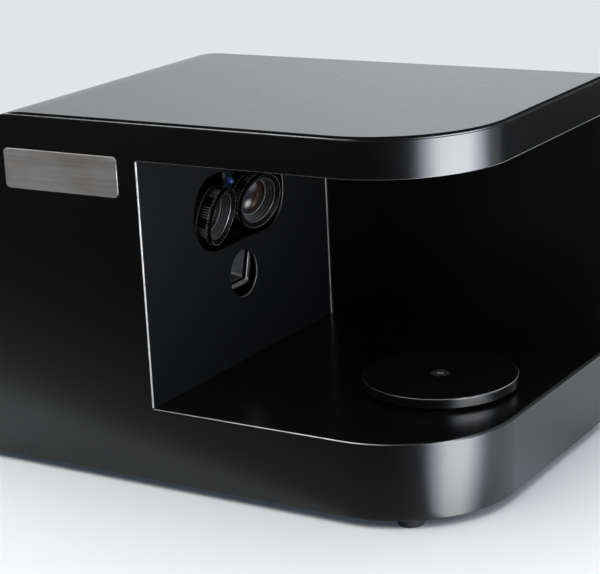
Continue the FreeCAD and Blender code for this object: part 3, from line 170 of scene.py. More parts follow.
class Shader(Graph):
    """A material with one Principled surface, built from procedural nodes."""

    def __init__(self, name, **sockets):
        self.material = bpy.data.materials.new(name)
        self.material.use_nodes = True
        super().__init__(self.material.node_tree)
        self.surface = self.tree.nodes["Principled BSDF"]
        self.place = self.add("ShaderNodeTexCoord").outputs["Object"]
        for socket, value in sockets.items():
            self.fix(socket.replace("_", " "), value)

    def fix(self, socket, value):
        """Same value all over the surface."""
        self.surface.inputs[socket].default_value = value

    def set(self, socket, value):
        """Value that changes over the surface."""
        self.tree.links.new(value, self.surface.inputs[socket])

    def axes(self):
        """X, Y and Z of a point."""
        split = self.add("ShaderNodeSeparateXYZ", {0: self.place}).outputs
        return split["X"], split["Y"], split["Z"]

    def stretched(self, scale):
        """Object coordinates, scaled per axis."""
        return self.add("ShaderNodeMapping", {"Vector": self.place, "Scale": scale}).outputs[0]

    def noise(self, scale, detail=3.0, vector=None, rough=0.5):
        """Plain noise; the object's coordinates are used where no vector is given."""
        vector = vector or self.place
        inputs = {"Vector": vector, "Scale": scale, "Detail": detail, "Roughness": rough}
        return self.add("ShaderNodeTexNoise", inputs).outputs[0]

    def cloud(self, scale, detail=4.0):
        """Noise spread over 0..1."""
        return self.spread(self.noise(scale, detail), 0, 1)

    def along(self, origin, axis):
        """Distance of a point along a line, in metres."""
        offset = self.vector("SUBTRACT", 0, self.place, origin)
        return self.vector("DOT_PRODUCT", "Value", offset, axis)

    def around(self, origin, axis):
        """Distance of a point from a line, in metres."""
        offset = self.vector("SUBTRACT", 0, self.place, origin)
        cross = self.vector("CROSS_PRODUCT", 0, offset, axis)
        return self.vector("LENGTH", "Value", cross)

    def near(self, point):
        """Distance from a point, in metres."""
        return self.vector("DISTANCE", "Value", self.place, point)

    def outward(self):
        """Distance square to the outline from the line through the corner's centre."""
        x, y, _ = self.axes()
        right = self.math("MAXIMUM", self.math("SUBTRACT", x, CORNER_CENTRE[0]), 0.0)
        ahead = self.math("MAXIMUM", self.math("SUBTRACT", CORNER_CENTRE[1], y), 0.0)
        squares = self.math("ADD", self.product(right, right), self.product(ahead, ahead))
        return self.math("SQRT", squares)

    def bump(self, height, distance, strength):
        """Normal roughened by a height."""
        inputs = {"Height": height, "Distance": distance, "Strength": strength}
        return self.add("ShaderNodeBump", inputs)

    def grain(self, height, distance, strength, under=None):
        """Roughens the surface by a height, on top of another roughened normal if there is one."""
        bump = self.bump(height, distance, strength)
        if under:
            self.tree.links.new(under.outputs[0], bump.inputs["Normal"])
        self.set("Normal", bump.outputs[0])


def colour(value, tint=(1, 1, 1)):
    """Opaque grey of a value, tinted."""
    return (value * tint[0], value * tint[1], value * tint[2], 1.0)


# ------------------------------------------------------------------ housing
def housing_highlights_and_shade(made):
    """Painted highlights along the folds of the housing, and painted shade in the dark seam under
    the edge of its top and along the floor's fold at the right.
    """
    x, y, z = made.axes()
    reach = made.outward()
    rim = made.spread(reach, 0, 1, CORNER_RADIUS - 0.0015, CORNER_RADIUS - 0.0013)
    beside_bay = made.product(rim, made.spread(x, 0, 1, BAY_WALL - 0.0003, BAY_WALL + 0.0001))
    # Painted highlights: light lines along the folds, where they catch the light.
    floor_fold_highlight = made.product(
        beside_bay, made.band(z, FLOOR_LEVEL - 0.0008, FLOOR_LEVEL - 0.0003),
        made.spread(x, 0.2, 0.75, -0.02, 0.10), made.spread(x, 1, 0, 0.112, 0.142))
    seam = made.product(
        rim, made.band(z, TOP - 0.0019, TOP - 0.0014),
        made.spread(x, 1, 0, 0.100, 0.130), made.spread(x, 0.25, 0.9, -0.15, 0.09))
    ceiling_edge_highlight = made.product(
        beside_bay, made.band(z, CEILING_LEVEL - 0.0002, CEILING_LEVEL + 0.0004),
        made.spread(y, 0.1, 0.7, -0.065, -0.030))
    upright = made.product(
        made.band(x, BAY_WALL - 0.0007, BAY_WALL + 0.0003),
        made.spread(y, 1, 0, FRONT + 0.0007, FRONT + 0.0011),
        made.band(z, FLOOR_LEVEL + 0.0005, CEILING_LEVEL - 0.0005))
    light = made.most(floor_fold_highlight, seam, ceiling_edge_highlight, upright)
    # Painted shade: the reflection is dimmed under the edge of the top and along the floor's fold
    # at the right.
    shade_under_top = made.product(
        made.spread(reach, 0, 1, CORNER_RADIUS - 0.0016, CORNER_RADIUS - 0.0014),
        made.spread(z, 0, 1, TOP - 0.0013, TOP - 0.0011))
    right_fold_shade = made.product(
        rim, made.band(z, FLOOR_LEVEL - 0.0015, FLOOR_LEVEL + 0.0015),
        made.spread(x, 0, 0.8, 0.168, 0.180))
    return light, made.most(shade_under_top, right_fold_shade)


def panel_edge_highlights(made):
    """Painted highlights: light lines on the cut edges of the hole and the slot, and on the fold at
    the back of the bay.
    """
    x, y, _ = made.axes()
    face = made.spread(x, 0, 1, BAY_WALL - 0.0007, BAY_WALL - 0.0005)
    along_x = (1, 0, 0)
    # Painted highlights on the cut edges, brightest on the lit side.
    hole_edge_highlight = made.product(
        made.spread(made.around(HOLE, along_x), 1, 0, HOLE_RADIUS + 0.00035, HOLE_RADIUS + 0.0005),
        face, made.spread(made.along(HOLE, WORN_AND_LIT_SIDE), 0, 0.32, 0.002, 0.012))
    slot_edge_highlight = made.product(
        made.spread(made.around(SLOT_END, along_x), 1, 0,
                    SLOT_RADIUS + 0.00035, SLOT_RADIUS + 0.0005),
        face, made.spread(y, 0, 0.22, SLOT_END[1] + 0.010, SLOT_END[1] + 0.022))
    # Painted highlight on the fold at the back of the bay.
    fold = made.spread(y, 0, 0.9, BAY_BACK - 0.0015, BAY_BACK - 0.0012)
    return made.most(hole_edge_highlight, slot_edge_highlight, fold), None


def satin_paint(name, low, high, edges, rough=0.24, **sockets):
    """Powder coat: fine orange peel over a very fine grain, a little uneven in gloss."""
    made = Shader(name, IOR=1.5, **sockets)
    tint = (0.92, 1.0, 1.12)
    # The edges give painted highlights, light, and painted shade, dark.
    light, dark = edges(made)
    light = made.product(light, made.spread(made.noise(160.0), 0.6, 1.0))
    coat = made.blend(made.cloud(9.0), colour(low, tint), colour(high, tint))
    made.set("Base Color", made.blend(light, coat, colour(0.90)))
    made.set("Metallic", made.product(light, 0.3))
    gloss = made.spread(made.noise(260.0, 4.0), rough - 0.015, rough + 0.015)
    # Painted shade: rougher paint with little reflection where dark lies.
    if dark:
        gloss = made.math("ADD", gloss, made.product(dark, 0.6))
        made.set("Specular IOR Level", made.spread(dark, 0.5, 0.05, 0, 1))
    made.set("Roughness", gloss)
    peel = made.bump(made.noise(420.0, 2.0), 0.000012, 0.3)
    made.grain(made.noise(2600.0, 2.0), 0.000002, 0.3, under=peel)
    return made.material


def brushed_plate():
    """Aluminium brushed along X, with a few longer scratches."""
    made = Shader("brushed_aluminium", Metallic=1.0)
    lines = made.noise(1.0, 6.0, made.stretched((18.0, 400.0, 2600.0)), 0.7)
    broad = made.noise(1.0, 3.0, made.stretched((4.0, 60.0, 320.0)), 0.6)
    tone = made.math("ADD", made.product(lines, 0.7), made.product(broad, 0.3))
    patches = made.noise(1.0, 2.0, made.stretched((34.0, 30.0, 60.0)))
    patch = made.spread(patches, 0, 1, 0.35, 0.65)
    low = made.blend(patch, colour(0.46, (1, 0.93, 0.86)), colour(0.56, (1, 0.98, 0.98)))
    high = made.blend(patch, colour(0.82, (1, 0.95, 0.89)), colour(0.95, (1, 0.98, 0.985)))
    made.set("Base Color", made.blend(made.spread(tone, 0, 1), low, high))
    made.set("Roughness", made.spread(lines, 0.42, 0.58))
    made.grain(lines, 0.00002, 0.6)
    return made.material


# ------------------------------------------------------------------ plain materials
def metal(name, low, high, rough, tint, metallic=1.0):
    """Plain metal or anodised metal with a fine isotropic grain."""
    made = Shader(name, Metallic=metallic)
    made.set("Base Color", made.blend(made.cloud(60.0), colour(low, tint), colour(high, tint)))
    made.set("Roughness", made.spread(made.noise(270.0), rough - 0.05, rough + 0.05))
    made.grain(made.noise(900.0), 0.00001, 0.5)
    return made.material


def turned_steel():
    """Steel with fine turning marks round the turntable's axis."""
    made = Shader("steel", Metallic=1.0)
    uneven = made.noise(1.0, 4.0, made.stretched((900.0, 900.0, 900.0)))
    turns = made.wave(made.around(DISC, (0, 0, 1)), 0.0003)
    made.set("Base Color", made.blend(made.cloud(45.0), colour(0.46), colour(0.6)))
    made.set("Roughness", made.spread(uneven, 0.19, 0.29))
    made.grain(made.math("ADD", made.product(turns, 0.5), uneven), 0.00003, 0.4)
    return made.material


def plastic(name, low, high, rough, grain=1500.0, depth=0.00002):
    """Moulded plastic or rubber with a fine spark-eroded grain."""
    made = Shader(name)
    made.set("Base Color", made.blend(made.cloud(70.0), colour(low), colour(high)))
    made.set("Roughness", made.spread(made.noise(240.0, 4.0), rough - 0.06, rough + 0.06))
    made.grain(made.noise(grain), depth, 0.5)
    return made.material


def window_glass():
    """Clear glass with a slight haze."""
    made = Shader("window_glass", IOR=1.5, Transmission_Weight=0.85)
    haze = made.noise(300.0)
    tone = made.blend(made.spread(haze, 0, 1), (0.62, 0.66, 0.68, 1), (0.7, 0.74, 0.76, 1))
    made.set("Base Color", tone)
    made.set("Roughness", made.spread(haze, 0.02, 0.06))
    return made.material


def circuit_board():
    """Green solder mask with paler tracks and a fine weave below it."""
    made = Shader("circuit_board", Coat_Weight=0.4)
    inputs = {"Vector": made.place, "Scale": 90.0, "Mortar Size": 0.03}
    tracks = made.add("ShaderNodeTexBrick", inputs).outputs["Fac"]
    weave = made.noise(1800.0, 2.0)
    tone = made.blend(tracks, (0.010, 0.085, 0.035, 1), (0.03, 0.19, 0.08, 1))
    made.set("Base Color", tone)
    made.set("Roughness", made.spread(weave, 0.28, 0.42))
    made.grain(made.math("ADD", tracks, made.product(weave, 0.2)), 0.00003, 0.4)
    return made.material


# ------------------------------------------------------------------ turntable and bay
def disc_finish():
    """Glossy black disc with faint turning marks; its upper edge is paler metal, as wear and as a
    painted highlight, brightest at the right.
    """
    made = Shader("disc_finish")
    reach = made.around(DISC, (0, 0, 1))
    height = made.along(DISC, (0, 0, 1))
    top_edge = made.product(made.band(reach, DISC_RADIUS - 0.0005, DISC_RADIUS - 0.0002),
                            made.spread(height, 0, 1, -0.0006, -0.0004))
    # Painted highlight: the light line on the rim is strongest towards the right front.
    highlight_side = made.spread(made.along(DISC, (0.9, -0.44, 0)), 0.08, 1, -0.010, 0.045)
    worn_and_lit = made.product(top_edge, highlight_side, made.spread(made.noise(400.0), 0.5, 1))
    tint = (1, 1, 1.1)
    black = made.blend(made.cloud(45.0), colour(0.003, tint), colour(0.0055, tint))
    made.set("Base Color", made.blend(worn_and_lit, black, colour(0.55)))
    made.set("Metallic", made.product(worn_and_lit, 0.8))
    made.set("Roughness", made.spread(made.noise(300.0), 0.17, 0.21))
    made.grain(made.wave(reach, 0.0005), 0.000003, 0.3)
    return made.material


def blackened_steel():
    """Dull blackened brackets behind the panel, with a painted glint beside the lamp and a painted
    blue glow from the lamp around it.
    """
    made = Shader("blackened_steel", Specular_IOR_Level=0.08)
    cloud = made.noise(90.0, 4.0)
    # Painted glint near the lamp and painted glow of the lamp on the bracket.
    glint_place = (LAMP_DOME[0], BAY_MIDDLE - 0.0055, LAMP_DOME[2] + 0.0045)
    painted_glint = made.spread(made.near(glint_place), 1, 0, 0.0015, 0.0040)
    painted_lamp_glow = made.spread(made.near(LAMP_DOME), 1, 0, 0.0025, 0.0075)
    black = made.blend(made.spread(cloud, 0, 1), colour(0.0015), colour(0.004))
    black = made.blend(painted_lamp_glow, black, (0.002, 0.010, 0.012, 1))
    made.set("Base Color", made.blend(painted_glint, black, colour(0.18, (0.94, 1, 0.98))))
    made.set("Roughness", made.spread(cloud, 0.55, 0.75))
    made.grain(made.noise(1200.0), 0.00002, 0.5)
    return made.material


def lit_lamp():
    """Dim blue lamp: brightest at the middle of its dome and nearly black at the rim."""
    made = Shader("blue_lamp", Specular_IOR_Level=0.3, Emission_Strength=0.7)
    top = (LAMP_DOME[0], BAY_MIDDLE - 0.0010, LAMP_DOME[2] + 0.0008)
    centre = made.spread(made.around(top, (0.85, -0.5, 0.15)), 1, 0, 0.0003, 0.0026)
    tone = made.blend(centre, (0.002, 0.004, 0.012, 1), (0.020, 0.028, 0.15, 1))
    made.set("Base Color", tone)
    made.set("Emission Color", tone)
    made.set("Roughness", made.spread(made.noise(900.0, 2.0), 0.35, 0.5))
    return made.material


def hood_finish():
    """Grey inside the hood, dark on its floor and outside; painted shade darkens its groove, and
    painted highlights light its fold, the side edges of the bevel and a corner of the bevel.
    """
    made = Shader("hood_finish")
    depth = made.along(HOOD_MOUTH, HOOD_AXIS)
    rise = made.along(HOOD_MOUTH, HOOD_RISE)
    across = made.math("ABSOLUTE", made.along(HOOD_MOUTH, (0, 1, 0)))
    inside = made.spread(depth, 1, 0, -0.0045, -0.0041)
    floor = made.product(made.spread(rise, 1, 0, HOOD_FLOOR, HOOD_FLOOR + 0.0003), inside)
    # Painted highlight: a light line on the fold above the hood's floor.
    fold = made.product(made.band(rise, HOOD_FLOOR + 0.0003, HOOD_FLOOR + 0.0020, 0.0002), inside)
    # Painted shade: the groove behind the bevel is nearly black.
    groove = made.band(depth, -0.0043, -HOOD_BEVEL - 0.00005)
    lip = made.spread(depth, 0, 1, -HOOD_BEVEL - 0.0001, -HOOD_BEVEL + 0.00005)
    low_lip = made.product(lip, made.spread(rise, 1, 0, HOOD_FLOOR + 0.0002, HOOD_FLOOR + 0.0006))
    # Painted highlight along the side edges of the bevel.
    side_highlight = made.product(
        lip, made.spread(across, 0, 1, HOOD_HALF_WIDTH - 0.0001, HOOD_HALF_WIDTH + 0.0001),
        made.spread(depth, 1, 0, -0.0013, -0.0009))
    # Painted glint: a white dot at a corner of the bevel.
    corner = made.spread(made.near(HOOD_CORNER), 1, 0, 0.0009, 0.0019)
    outside = made.most(made.spread(across, 0, 1, 0.0159, 0.0161),
                        made.spread(rise, 0, 1, 0.0153, 0.0155))
    grit = made.noise(400.0, 4.0)
    cloud = made.spread(grit, 0, 1)
    stripes = made.spread(made.wave(depth, 0.0016), 0, 1, -1, 1)
    tint = (1, 1, 1.03)
    wall = made.blend(cloud, colour(0.30, tint), colour(0.40, tint))
    tone = made.blend(floor, wall, made.blend(stripes, colour(0.02), colour(0.07)))
    tone = made.blend(fold, tone, colour(0.80))
    tone = made.blend(groove, tone, colour(0.004))
    tone = made.blend(lip, tone, colour(0.02))
    tone = made.blend(low_lip, tone, made.blend(cloud, colour(0.16), colour(0.30)))
    tone = made.blend(side_highlight, tone, colour(0.48))
    tone = made.blend(outside, tone, colour(0.004))
    made.set("Base Color", made.blend(corner, tone, colour(0.95)))
    made.set("Metallic", made.spread(corner, 0.55, 0))
    made.set("Roughness", made.spread(grit, 0.34, 0.46))
    made.grain(made.noise(1600.0), 0.00001, 0.5)
    return made.material


# ------------------------------------------------------------------ lenses
def focus_finish(name, rim, axis):
    """Black anodised ring with fine rings on its bevel; its edges, groove and rear edge are paler
    metal, partly wear and partly painted highlight, and the edges are brightest on the lit side.
    """
    made = Shader(name, Specular_IOR_Level=0.03)
    reach = made.around(rim, axis)
    depth = made.along(rim, axis)
    inner_edge = made.product(made.band(reach, 0.0157, 0.0161),
                              made.spread(depth, 1, 0, -0.0021, -0.0019))
    rim_line = made.product(made.band(reach, 0.0189, 0.0193),
                            made.spread(depth, 0, 1, -0.0005, -0.0003))
    groove = made.product(made.band(depth, -0.0029, -0.0023),
                          made.spread(made.noise(900.0, 1.0), 0, 1, 0.4, 0.6))
    rear_edge = made.band(depth, -0.0116, -0.0112)
    # Painted highlights: the light edges are brightest on the lit side.
    highlight_side = made.spread(made.along(rim, WORN_AND_LIT_SIDE), 0.04, 1.0, -0.006, 0.018)
    worn_and_lit = made.most(made.product(made.most(inner_edge, rim_line), highlight_side),
                     made.product(made.most(groove, rear_edge), 0.8))
    worn_and_lit = made.product(worn_and_lit, made.spread(made.noise(520.0), 0.5, 1.0))
    cloud = made.cloud(60.0)
    tint = (1, 1, 1.1)
    black = made.blend(cloud, colour(0.004, tint), colour(0.009, tint))
    made.set("Base Color", made.blend(worn_and_lit, black, colour(0.70)))
    made.set("Metallic", made.product(worn_and_lit, 0.9))
    made.set("Roughness", made.spread(cloud, 0.30, 0.40, 0, 1))
    made.grain(made.wave(reach, 0.00085), 0.00008, 0.6)
    return made.material


def grip_finish(name, rim, axis):
    """Black anodised grip whose rib tops and rib ends are paler metal, partly wear and partly
    painted highlight.
    """
    made = Shader(name, Specular_IOR_Level=0.25)
    reach = made.around(rim, axis)
    depth = made.along(rim, axis)
    taper = (GRIP_FRONT[1] - GRIP_REAR[1]) / (GRIP_FRONT[0] - GRIP_REAR[0])
    behind = made.math("SUBTRACT", depth, GRIP_FRONT[0])
    surface = made.math("ADD", made.product(behind, taper), GRIP_FRONT[1])
    height = made.math("SUBTRACT", reach, surface)
    top = made.product(made.spread(height, 0, 1, 0.00016, 0.00026),
                       made.spread(depth, 0.05, 1, -0.0088, -0.0064))
    wear = made.spread(made.noise(700.0), 0.35, 1.0)
    dots = made.spread(made.noise(900.0, 1.0), 0, 1, 0.42, 0.58)
    front_end = made.product(made.spread(depth, 0, 1, -0.0038, -0.0036), dots)
    rear_end = made.spread(depth, 1, 0, -0.0109, -0.0107)
    # Painted highlights, with wear, on the rib tops and the ends of the ribs.
    worn_and_lit = made.most(made.product(top, wear), front_end, rear_end)
    cloud = made.cloud(60.0)
    made.set("Base Color", made.blend(
        worn_and_lit, made.blend(cloud, colour(0.0015), colour(0.003)), colour(0.70)))
    made.set("Metallic", made.product(worn_and_lit, 0.9))
    made.set("Roughness", made.spread(cloud, 0.34, 0.44, 0, 1))
    made.grain(made.noise(1800.0), 0.00001, 0.5)
    return made.material


def barrel_finish(name, rim, axis, lit_low_tone):
    """Black barrel whose mouth is a paler thread of fine baffles, with painted light making it
    palest low at the front.
    """
    made = Shader(name, Specular_IOR_Level=0.3)
    reach = made.around(rim, axis)
    depth = made.along(rim, axis)
    mouth = made.product(made.spread(reach, 1, 0, 0.0153, 0.0156),
                         made.spread(depth, 0, 1, -0.0086, -0.0082))
    seat = made.product(made.band(reach, 0.0129, 0.0134),
                        made.spread(depth, 1, 0, -0.0079, -0.0077))
    thread = made.wave(depth, 2 * BAFFLE_PITCH)
    fine = made.wave(depth, BAFFLE_PITCH)
    baffles = made.math("ADD", thread, made.product(fine, 0.6))
    # Painted light: the low front side of the mouth is paler.
    lit_low_side = made.spread(made.along(rim, (0, -0.60, -0.80)), 0, 1, -0.004, 0.013)
    high_tint, low_tint = (1, 1, 1.06), (1, 1, 1.04)
    dark = made.blend(lit_low_side, colour(0.006, high_tint), colour(0.06, low_tint))
    light = made.blend(lit_low_side, colour(0.06, high_tint), colour(lit_low_tone, low_tint))
    pale = made.blend(made.spread(baffles, 0, 1, -0.9, 1.5), dark, light)
    cloud = made.cloud(60.0)
    tone = made.blend(mouth, made.blend(cloud, colour(0.004), colour(0.009)), pale)
    made.set("Base Color", made.blend(seat, tone, colour(0.5)))
    made.set("Metallic", made.product(seat, 0.9))
    made.set("Roughness", made.spread(cloud, 0.36, 0.48, 0, 1))
    made.grain(made.math("ADD", thread, cloud), 0.00004, 0.5)
    return made.material


def coated_glass(name, rim, axis, glint):
    """Front element, nearly black: painted reflections in the coating go from brown to violet, with
    a painted pale flare and a painted amber one low down.
    """
    made = Shader(name, IOR=1.6, Coat_Weight=1.0, Coat_Roughness=0.02)
    axis = Vector(axis)
    across, rise = lens_sides(axis)
    centre = Vector(rim) + GLASS_DEPTH * axis
    cloud = made.noise(140.0)
    # Painted reflection: the coating's hue changes across the glass.
    reflected_hue_side = made.spread(made.along(tuple(centre), tuple(across)), 0, 1, -0.009, 0.004)
    tint = made.blend(reflected_hue_side, (0.030, 0.026, 0.070, 1), (0.040, 0.022, 0.016, 1))
    tint = made.blend(made.spread(cloud, 0, 0.4), tint, (0.05, 0.03, 0.025, 1))
    # Painted flares: a pale one and an amber one, low on the glass.
    flare_place = tuple(centre - 0.0036 * across - 0.0043 * rise)
    amber_flare_place = tuple(centre + 0.0030 * across - 0.0062 * rise)
    painted_flare = made.spread(made.near(flare_place), glint, 0, 0.0016, 0.0044)
    amber = made.spread(made.near(amber_flare_place), 0.75 * glint, 0, 0.0006, 0.0036)
    tint = made.blend(amber, tint, (0.60, 0.30, 0.20, 1))
    made.set("Base Color", made.blend(painted_flare, tint, (0.95, 0.94, 0.88, 1)))
    bright = made.most(painted_flare, amber)
    made.set("Metallic", made.product(bright, 0.9))
    gloss = made.spread(cloud, 0.05, 0.09)
    made.set("Roughness", made.math("ADD", gloss, made.product(bright, 0.5)))
    return made.material


# ------------------------------------------------------------------ rear cover
def cross_heads():
    """Plated screws of the rear cover, with painted shade darkening their cross recesses."""
    made = Shader("cross_head_steel", Metallic=1.0)
    _, y, _ = made.axes()
    heads = [made.spread(made.around((x, BACK, z), (0, 1, 0)), 1, 0, 0.0018, 0.0019)
             for x in COVER_SCREW_X for z in COVER_SCREW_Z]
    sunk = made.spread(y, 1, 0, BACK + 0.00080, BACK + 0.00097)
    # Painted shade: the cross recesses are dark.
    recess = made.product(made.most(*heads), sunk)
    cloud = made.cloud(260.0)
    tint = (0.97, 0.99, 1.0)
    zinc = made.blend(cloud, colour(0.50, tint), colour(0.66, tint))
    made.set("Base Color", made.blend(recess, zinc, colour(0.05)))
    made.set("Roughness", made.spread(cloud, 0.26, 0.40, 0, 1))
    made.grain(made.noise(900.0), 0.00001, 0.5)
    return made.material


def marked_rocker():
    """Black rocker with the plain on and off marks printed on its two faces."""
    made = Shader("marked_rocker")
    x, y, z = made.axes()
    face = made.spread(y, 0, 1, BACK - 0.0029, BACK - 0.0027)
    ring_centre = (SWITCH_X + 0.0031, 0, SWITCH_LEVEL)
    off = made.band(made.around(ring_centre, (0, 1, 0)), 0.0009, 0.0013, 0.00004)
    rise = made.math("ABSOLUTE", made.math("SUBTRACT", z, SWITCH_LEVEL))
    run = made.math("ABSOLUTE", made.math("SUBTRACT", x, SWITCH_X - 0.0029))
    on = made.product(made.spread(run, 1, 0, 0.00018, 0.00024),
                      made.spread(rise, 1, 0, 0.0013, 0.00136))
    print_mask = made.product(made.most(off, on), face, made.spread(made.noise(900.0, 2.0), 0.8, 1))
    cloud = made.cloud(70.0)
    black = made.blend(cloud, colour(0.010), colour(0.018))
    made.set("Base Color", made.blend(print_mask, black, colour(0.72)))
    made.set("Roughness", made.spread(cloud, 0.34, 0.44, 0, 1))
    made.grain(made.noise(1500.0), 0.00002, 0.4)
    return made.material


# ------------------------------------------------------------------ stage and light
def backdrop():
    """Pale floor, a little lit even in shadow, whose far parts match the background."""
    side = 8.0
    mesh = bpy.data.meshes.new("floor")
    corners = [(-side, -side, 0), (side, -side, 0), (side, side, 0), (-side, side, 0)]
    mesh.from_pydata(corners, [], [(0, 1, 2, 3)])
    floor = bpy.data.objects.new("floor", mesh)
    scene.collection.objects.link(floor)
    material = bpy.data.materials.new("floor")
    material.use_nodes = True
    material.node_tree.nodes.clear()
    made = Graph(material.node_tree)
    paper = made.add("ShaderNodeBsdfDiffuse", {"Color": (0.775, 0.790, 0.795, 1)}).outputs[0]
    in_shade = made.add("ShaderNodeEmission", {"Color": (0.030, 0.038, 0.052, 1)}).outputs[0]
    near = made.add("ShaderNodeAddShader", {0: paper, 1: in_shade}).outputs[0]
    beyond = made.add("ShaderNodeEmission", {"Color": BACKGROUND}).outputs[0]
    place = made.add("ShaderNodeTexCoord").outputs["Object"]
    far = made.spread(made.vector("LENGTH", "Value", place), 0, 1, 0.45, 1.3)
    mix = made.add("ShaderNodeMixShader", {0: far, 1: near, 2: beyond}).outputs[0]
    made.add("ShaderNodeOutputMaterial", {"Surface": mix})
    mesh.materials.append(material)


def card(name, corners, faces, tone):
    """Studio card that only shows in reflections."""
    mesh = bpy.data.meshes.new(name)
    mesh.from_pydata(corners, [], faces)
    board = bpy.data.objects.new(name, mesh)
    scene.collection.objects.link(board)
    made = Shader(name, Roughness=1.0, Base_Color=colour(tone))
    mesh.materials.append(made.material)
    board.visible_camera = False
    board.visible_diffuse = False
    board.visible_shadow = False
    board.visible_transmission = False
    return made


def dark_cards():
    """Dark cards on the floor: one in front, which pales towards the object, one far right."""
    tone, level = 0.004, 0.001
    edge = Vector((0.963, 0.270))
    middle = Vector((0.0, -0.156))
    low, high = middle - 3.0 * edge, middle + 0.42 * edge
    corners = [(*low, level), (*high, level), (2.5, -0.6, level), (0.5, -3.5, level)]
    front = card("front_card", corners, [(0, 1, 2, 3)], tone)
    beyond = front.along((*middle, level), (edge.y, -edge.x, 0))
    fading = front.spread(beyond, 1, 0, 0.0, 0.24)
    front.fix("Emission Color", colour(1.0))
    front.set("Emission Strength", front.product(fading, fading, 0.26))
    level = 0.0012
    corners = [(0.31, 0.02, level), (0.31, 1.4, level), (3.0, 3.0, level), (2.6, -0.5, level)]
    card("far_card", corners, [(0, 1, 2, 3)], tone)


def glow_card():
    """Lit card round the front right corner: the bright upright band that the corner mirrors."""
    low, lip, high = 0.002, 0.05, 0.236
    near_front, near_back = (0.172, -0.106), (0.196, 0.100)
    far_front, far_back, far_side = (0.305, -0.222), (0.352, 0.010), (0.315, 0.105)
    corners = [(*near_front, low), (*near_back, low), (*far_front, low), (*far_back, low),
               (*far_front, high), (*far_back, high), (*far_back, lip), (*far_side, lip),
               (*far_side, high), (*far_side, low)]
    glow = card("glow_card", corners, [(0, 1, 9, 3, 2), (2, 3, 5, 4), (6, 7, 8, 5)], 0.8)
    x, y, z = glow.axes()
    pivot = (0.150, -0.080)  # the band fans out from here, seen from above
    away = glow.math("SUBTRACT", glow.outward(), CORNER_RADIUS)
    bearing = glow.math(
        "ARCTAN2", glow.math("SUBTRACT", y, pivot[1]), glow.math("SUBTRACT", x, pivot[0]))
    turn = glow.math("SUBTRACT", bearing, glow.spread(away, math.radians(-6), 0, 0.0, 0.11))
    lean = glow.spread(z, math.radians(3), math.radians(12), 0.0, 0.1)
    from_front = glow.spread(turn, 0, 1, math.radians(-44), math.radians(-19))
    from_back = glow.spread(glow.math("SUBTRACT", turn, lean), 1, 0,
                            math.radians(-2), math.radians(22))
    rise = glow.spread(z, 12.0, 16.5, 0.0, 0.1)
    band = glow.product(from_front, from_back, rise, glow.spread(away, 0.55, 1, 0.0, 0.085))
    beside = glow.product(glow.spread(z, 0.35, 0, 0.01, 0.03), glow.spread(y, 1, 0, 0.0, 0.10))
    core = glow.spread(glow.product(from_front, from_back), 0, 1, 0.0, 0.8)
    glow.set("Emission Color", glow.blend(core, (0.78, 0.90, 1.15, 1), (0.965, 0.985, 1.025, 1)))
    glow.set("Emission Strength", glow.most(band, beside))


def sky():
    """Pale background for the camera; mirrored, a room that is dim in front and to the right."""
    world = bpy.data.worlds.new("studio")
    scene.world = world
    world.use_nodes = True
    world.node_tree.nodes.clear()
    made = Graph(world.node_tree)
    place = made.add("ShaderNodeTexCoord").outputs["Generated"]
    split = made.add("ShaderNodeSeparateXYZ", {0: place}).outputs
    behind = made.spread(split["Y"], 0.03, 1.0, 0.0, 0.7, interpolation_type="SMOOTHSTEP")
    right = made.spread(split["X"], 1.0, 0.2, 0.15, 0.60)
    left = made.spread(split["X"], 0.80, 1.10, -0.65, -0.46)
    above = made.spread(split["Z"], 1.0, 1.9, 0.2, 0.6)
    inputs = {"Color": (0.94, 0.975, 1.01, 1), "Strength": made.product(behind, right, left, above)}
    room = made.add("ShaderNodeBackground", inputs).outputs[0]
    seen = made.add("ShaderNodeBackground", {"Color": BACKGROUND}).outputs[0]
    from_camera = made.add("ShaderNodeLightPath").outputs["Is Camera Ray"]
    mix = made.add("ShaderNodeMixShader", {0: from_camera, 1: room, 2: seen}).outputs[0]
    made.add("ShaderNodeOutputWorld", {"Surface": mix})


def softbox(name, place, target, width, height, radiance, mirrored):
    """Rectangular light aimed at a target; a softbox that isn't mirrored only lights."""
    data = bpy.data.lights.new(name, "AREA")
    data.shape = "RECTANGLE"
    data.size = width
    data.size_y = height
    data.energy = radiance * math.pi * width * height
    light = bpy.data.objects.new(name, data)
    light.location = place
    light.visible_camera = False
    light.visible_glossy = mirrored
    aim = Vector(target) - Vector(place)
    light.rotation_euler = aim.to_track_quat("-Z", "Y").to_euler()
    scene.collection.objects.link(light)


def lights():
    """Soft light from the right, from the front and from above."""
    softbox("side_softbox", (0.80, 0.03, 0.24), (0.0, 0.05, 0.13), 0.36, 0.36, 3.8, False)
    softbox("front_softbox", (0.70, -0.90, 1.20), (0.15, -0.15, 0.0), 1.0, 1.0, 1.5, False)
    softbox("top_softbox", (-0.35, -0.40, 1.30), (0, -0.1, 0), 1.6, 1.4, 3.0, True)


# ------------------------------------------------------------------ lens details
def lens_axis(side):
    """Direction of a lens, out of its front rim: side is -1 for the front lens, 1 for the rear."""
    return Vector((
        math.cos(LENS_PITCH) * math.cos(LENS_YAW),
        -side * math.cos(LENS_PITCH) * math.sin(LENS_YAW),
        -math.sin(LENS_PITCH)))


def lens_sides(axis):
    """Directions across and up the rim of a lens."""
    across = Vector((0, 0, 1)).cross(axis).normalized()
    return across, axis.cross(across)


